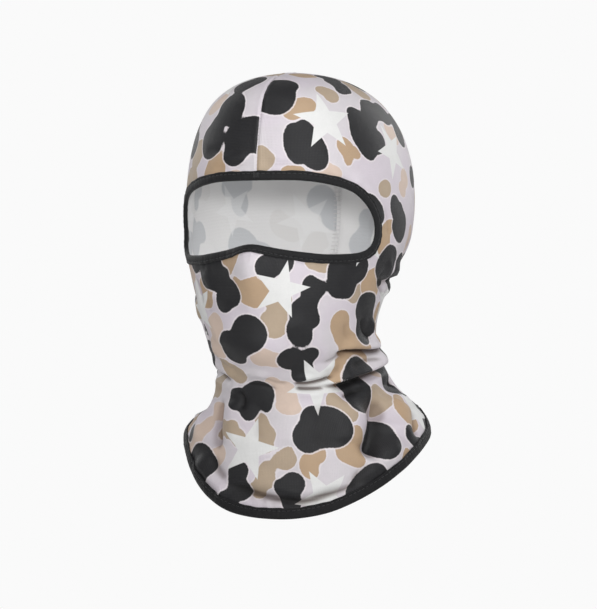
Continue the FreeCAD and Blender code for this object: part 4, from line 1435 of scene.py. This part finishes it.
def thread_mat(name, dark, pale, spec=0.4):
    g = Nodes(name)
    geo = g.t.nodes.new("ShaderNodeTexCoord")
    p = geo.outputs["Object"]
    twist = g.t.nodes.new("ShaderNodeTexWave")
    twist.bands_direction = "DIAGONAL"
    g.put(twist.inputs["Vector"], p)
    twist.inputs["Scale"].default_value = 900.0
    twist.inputs["Distortion"].default_value = 1.5
    twist.inputs["Detail"].default_value = 1.0
    n_ = g.noise(p, 2500.0, 2.0)
    c = g.mix(g.mul(g.add(twist.outputs["Fac"], n_), 0.5), dark, pale)
    n1 = g.bump(twist.outputs["Fac"], 0.00008, 0.8)
    g.surface(c, g.add(0.45, g.mul(n_, 0.25)), n1, sheen=0.15, spec=spec)
    return g.mat


def satin():
    g = Nodes("label_satin_weave")
    geo = g.t.nodes.new("ShaderNodeTexCoord")
    p = geo.outputs["Object"]
    x, y, z = g.xyz(p)
    across = g.m("COSINE", g.mul(z, 2 * math.pi / 0.00042))
    along = g.m("COSINE", g.mul(g.add(x, g.mul(y, -0.5)), 2 * math.pi / 0.0016))
    n_ = g.noise(p, 1200.0, 2.0)
    wide = g.noise(p, 120.0, 2.0)
    c = g.mix(n_, lin(226, 225, 220), lin(238, 237, 233))
    c = g.mix(g.mul(wide, 0.2), c, lin(214, 212, 206))
    n1 = g.bump(g.add(across, g.mul(along, 0.3)), 0.00004, 0.6)
    g.surface(c, g.add(0.34, g.mul(n_, 0.18)), n1, sheen=0.1, spec=0.55)
    return g.mat


M_FACE, M_BACK = printed_knit(), knit_reverse()
M_BIND = binding_knit()
M_BLACK = thread_mat("black_thread_twist", lin(26, 26, 28), lin(50, 50, 52))
M_LIGHT = thread_mat("light_thread_twist", lin(200, 198, 198), lin(222, 221, 221))
M_GREYTHREAD = thread_mat("seam_thread_twist", lin(110, 105, 108), lin(150, 145, 148))
M_LABEL = satin()
hood.data.materials.append(M_FACE)
hood.data.materials.append(M_BACK)
for o, mt in ((eye_bind, M_BIND), (hem_bind, M_BIND), (eye_stitch, M_BLACK), (hem_stitch, M_BLACK),
              (eye_tack, M_BLACK), (hem_tack, M_BLACK), (seam_out, M_GREYTHREAD), (seam_in, M_LIGHT),
              (label, M_LABEL), (label_thread, M_LIGHT)):
    o.data.materials.append(mt)

# ------------------------------------------------------------------
# Who stands for what
PARTS = [(hood, "hood", ["hood_panel"], "printed_knit"),
         (eye_bind, "hood", ["eye_binding"], "black_binding"),
         (hem_bind, "hood", ["hem_binding"], "black_binding"),
         (eye_stitch, "hood", ["eye_binding_topstitch"], "black_thread"),
         (hem_stitch, "hood", ["hem_binding_topstitch"], "black_thread"),
         (eye_tack, "hood", ["eye_binding_bartack"], "black_thread"),
         (hem_tack, "hood", ["hem_binding_bartack"], "black_thread"),
         (seam_in, "hood", ["centre_seam_overlock"], "light_thread"),
         (seam_out, "hood", [], "light_thread"),
         (label, "label", ["care_label"], "label_satin"),
         (label_thread, "hood", ["care_label_stitches"], "light_thread")]
for o, body, nodes_, slot_ in PARTS:
    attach(o, body)
    if nodes_:
        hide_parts(*nodes_)

# ------------------------------------------------------------------
# Stage: pale floor well below the worn hood, plain soft light
CENTRE = (CAD_LO + CAD_HI) / 2


def look_at(o, target):
    o.rotation_euler = (Vector(target) - o.location).to_track_quat("-Z", "Y").to_euler()


fl = bpy.data.meshes.new("floor")
R_, N_ = 9.0, 64
fl.from_pydata([(0, 0, 0)] + [(R_ * math.cos(2 * math.pi * k / N_), R_ * math.sin(2 * math.pi * k / N_), 0)
                              for k in range(N_)], [],
               [(0, 1 + k, 1 + (k + 1) % N_) for k in range(N_)])
floor = bpy.data.objects.new("floor", fl)
bpy.context.scene.collection.objects.link(floor)
floor.location = (0, 0, CAD_LO.z - 0.30)
g = Nodes("pale_floor")
geo = g.t.nodes.new("ShaderNodeNewGeometry")
fx, fy, fz = g.xyz(geo.outputs["Position"])
rad = g.m("SQRT", g.add(g.mul(fx, fx), g.mul(fy, fy)))
far = g.ramp(rad, 0.30, 1.30, 0.45, 1.0)
dif = g.t.nodes.new("ShaderNodeBsdfDiffuse")
dif.inputs[0].default_value = (0.93, 0.93, 0.93, 1)
emi = g.t.nodes.new("ShaderNodeEmission")
emi.inputs[0].default_value = (0.956, 0.956, 0.956, 1)
mx = g.t.nodes.new("ShaderNodeMixShader")
lp = g.t.nodes.new("ShaderNodeLightPath")
g.put(mx.inputs[0], g.mul(far, lp.outputs["Is Camera Ray"]))
g.t.links.new(dif.outputs[0], mx.inputs[1])
g.t.links.new(emi.outputs[0], mx.inputs[2])
g.t.links.new(mx.outputs[0], g.out.inputs[0])
floor.data.materials.append(g.mat)

world = bpy.data.worlds.new("studio")
bpy.context.scene.world = world
world.use_nodes = True
wt = world.node_tree
wt.nodes.clear()
wo = wt.nodes.new("ShaderNodeOutputWorld")
bg_cam = wt.nodes.new("ShaderNodeBackground")
bg_cam.inputs[0].default_value = (0.956, 0.956, 0.956, 1)
bg_lit = wt.nodes.new("ShaderNodeBackground")
bg_lit.inputs[0].default_value = (1, 1, 1, 1)
bg_lit.inputs[1].default_value = 0.22
lp = wt.nodes.new("ShaderNodeLightPath")
mx = wt.nodes.new("ShaderNodeMixShader")
wt.links.new(lp.outputs["Is Camera Ray"], mx.inputs[0])
wt.links.new(bg_lit.outputs[0], mx.inputs[1])
wt.links.new(bg_cam.outputs[0], mx.inputs[2])
wt.links.new(mx.outputs[0], wo.inputs[0])

AZ = math.radians(18)
TO_CAM = Vector((math.sin(AZ), -math.cos(AZ), 0))
RIGHT = Vector((math.cos(AZ), math.sin(AZ), 0))
UP = Vector((0, 0, 1))


def soft_box(name, where, aim, size, power):
    d = bpy.data.lights.new(name, "AREA")
    d.shape = "DISK"
    d.size = size
    d.energy = power
    o = bpy.data.objects.new(name, d)
    bpy.context.scene.collection.objects.link(o)
    o.location = where
    look_at(o, aim)
    o.visible_camera = False


AIM = Vector((0, 0, 0.2))
d = bpy.data.lights.new("key_front", "SPOT")
d.spot_size = math.radians(27.0)
d.spot_blend = 1.0
d.shadow_soft_size = 0.085
d.energy = 39.0
o = bpy.data.objects.new("key_front", d)
bpy.context.scene.collection.objects.link(o)
o.location = AIM + TO_CAM * 1.5 + UP * 0.09
look_at(o, Vector((0, 0, 0.235)))
o.visible_camera = False
soft_box("key_top", AIM + TO_CAM * 0.80 + UP * 1.15 + RIGHT * 0.20, AIM + UP * 0.1, 0.7, 6.6)
soft_box("side_left", AIM + TO_CAM * 1.05 - RIGHT * 0.95 + UP * 0.25, AIM, 0.6, 2.6)
soft_box("side_right", AIM + TO_CAM * 0.95 + RIGHT * 1.05 + UP * 0.30, AIM, 0.6, 4.8)
soft_box("fill_back_left", AIM - TO_CAM * 1.3 + RIGHT * 1.2 + UP * 0.7, AIM, 1.2, 8.0)
soft_box("fill_back_right", AIM - TO_CAM * 1.3 - RIGHT * 1.2 + UP * 0.7, AIM, 1.2, 8.0)
d = bpy.data.lights.new("inside_fill", "POINT")
d.shadow_soft_size = 0.045
d.energy = 0.062
o = bpy.data.objects.new("inside_fill", d)
bpy.context.scene.collection.objects.link(o)
o.location = (-0.026, 0.018, CAD_HI.z - 0.130)
o.visible_camera = False

# ------------------------------------------------------------------
# Camera: level, 18 degrees to the wearer's left of straight ahead
cam_d = bpy.data.cameras.new("camera")
cam_d.sensor_width = 36.0
cam_d.lens = 36.0 * 2027.0 / 609.0
cam_d.clip_start = 0.05
cam_d.clip_end = 60.0
cam = bpy.data.objects.new("camera", cam_d)
bpy.context.scene.collection.objects.link(cam)
mid = Vector((0.0, 0.0, CAD_HI.z - 0.1699))
cam.location = mid + RIGHT * -0.00105 + TO_CAM * 1.5
cam.rotation_euler = (-TO_CAM).to_track_quat("-Z", "Y").to_euler()
bpy.context.scene.camera = cam

vs_ = bpy.context.scene.view_settings
vs_.view_transform = "Standard"
vs_.look = "None"
vs_.exposure = 0.0
vs_.gamma = 1.0
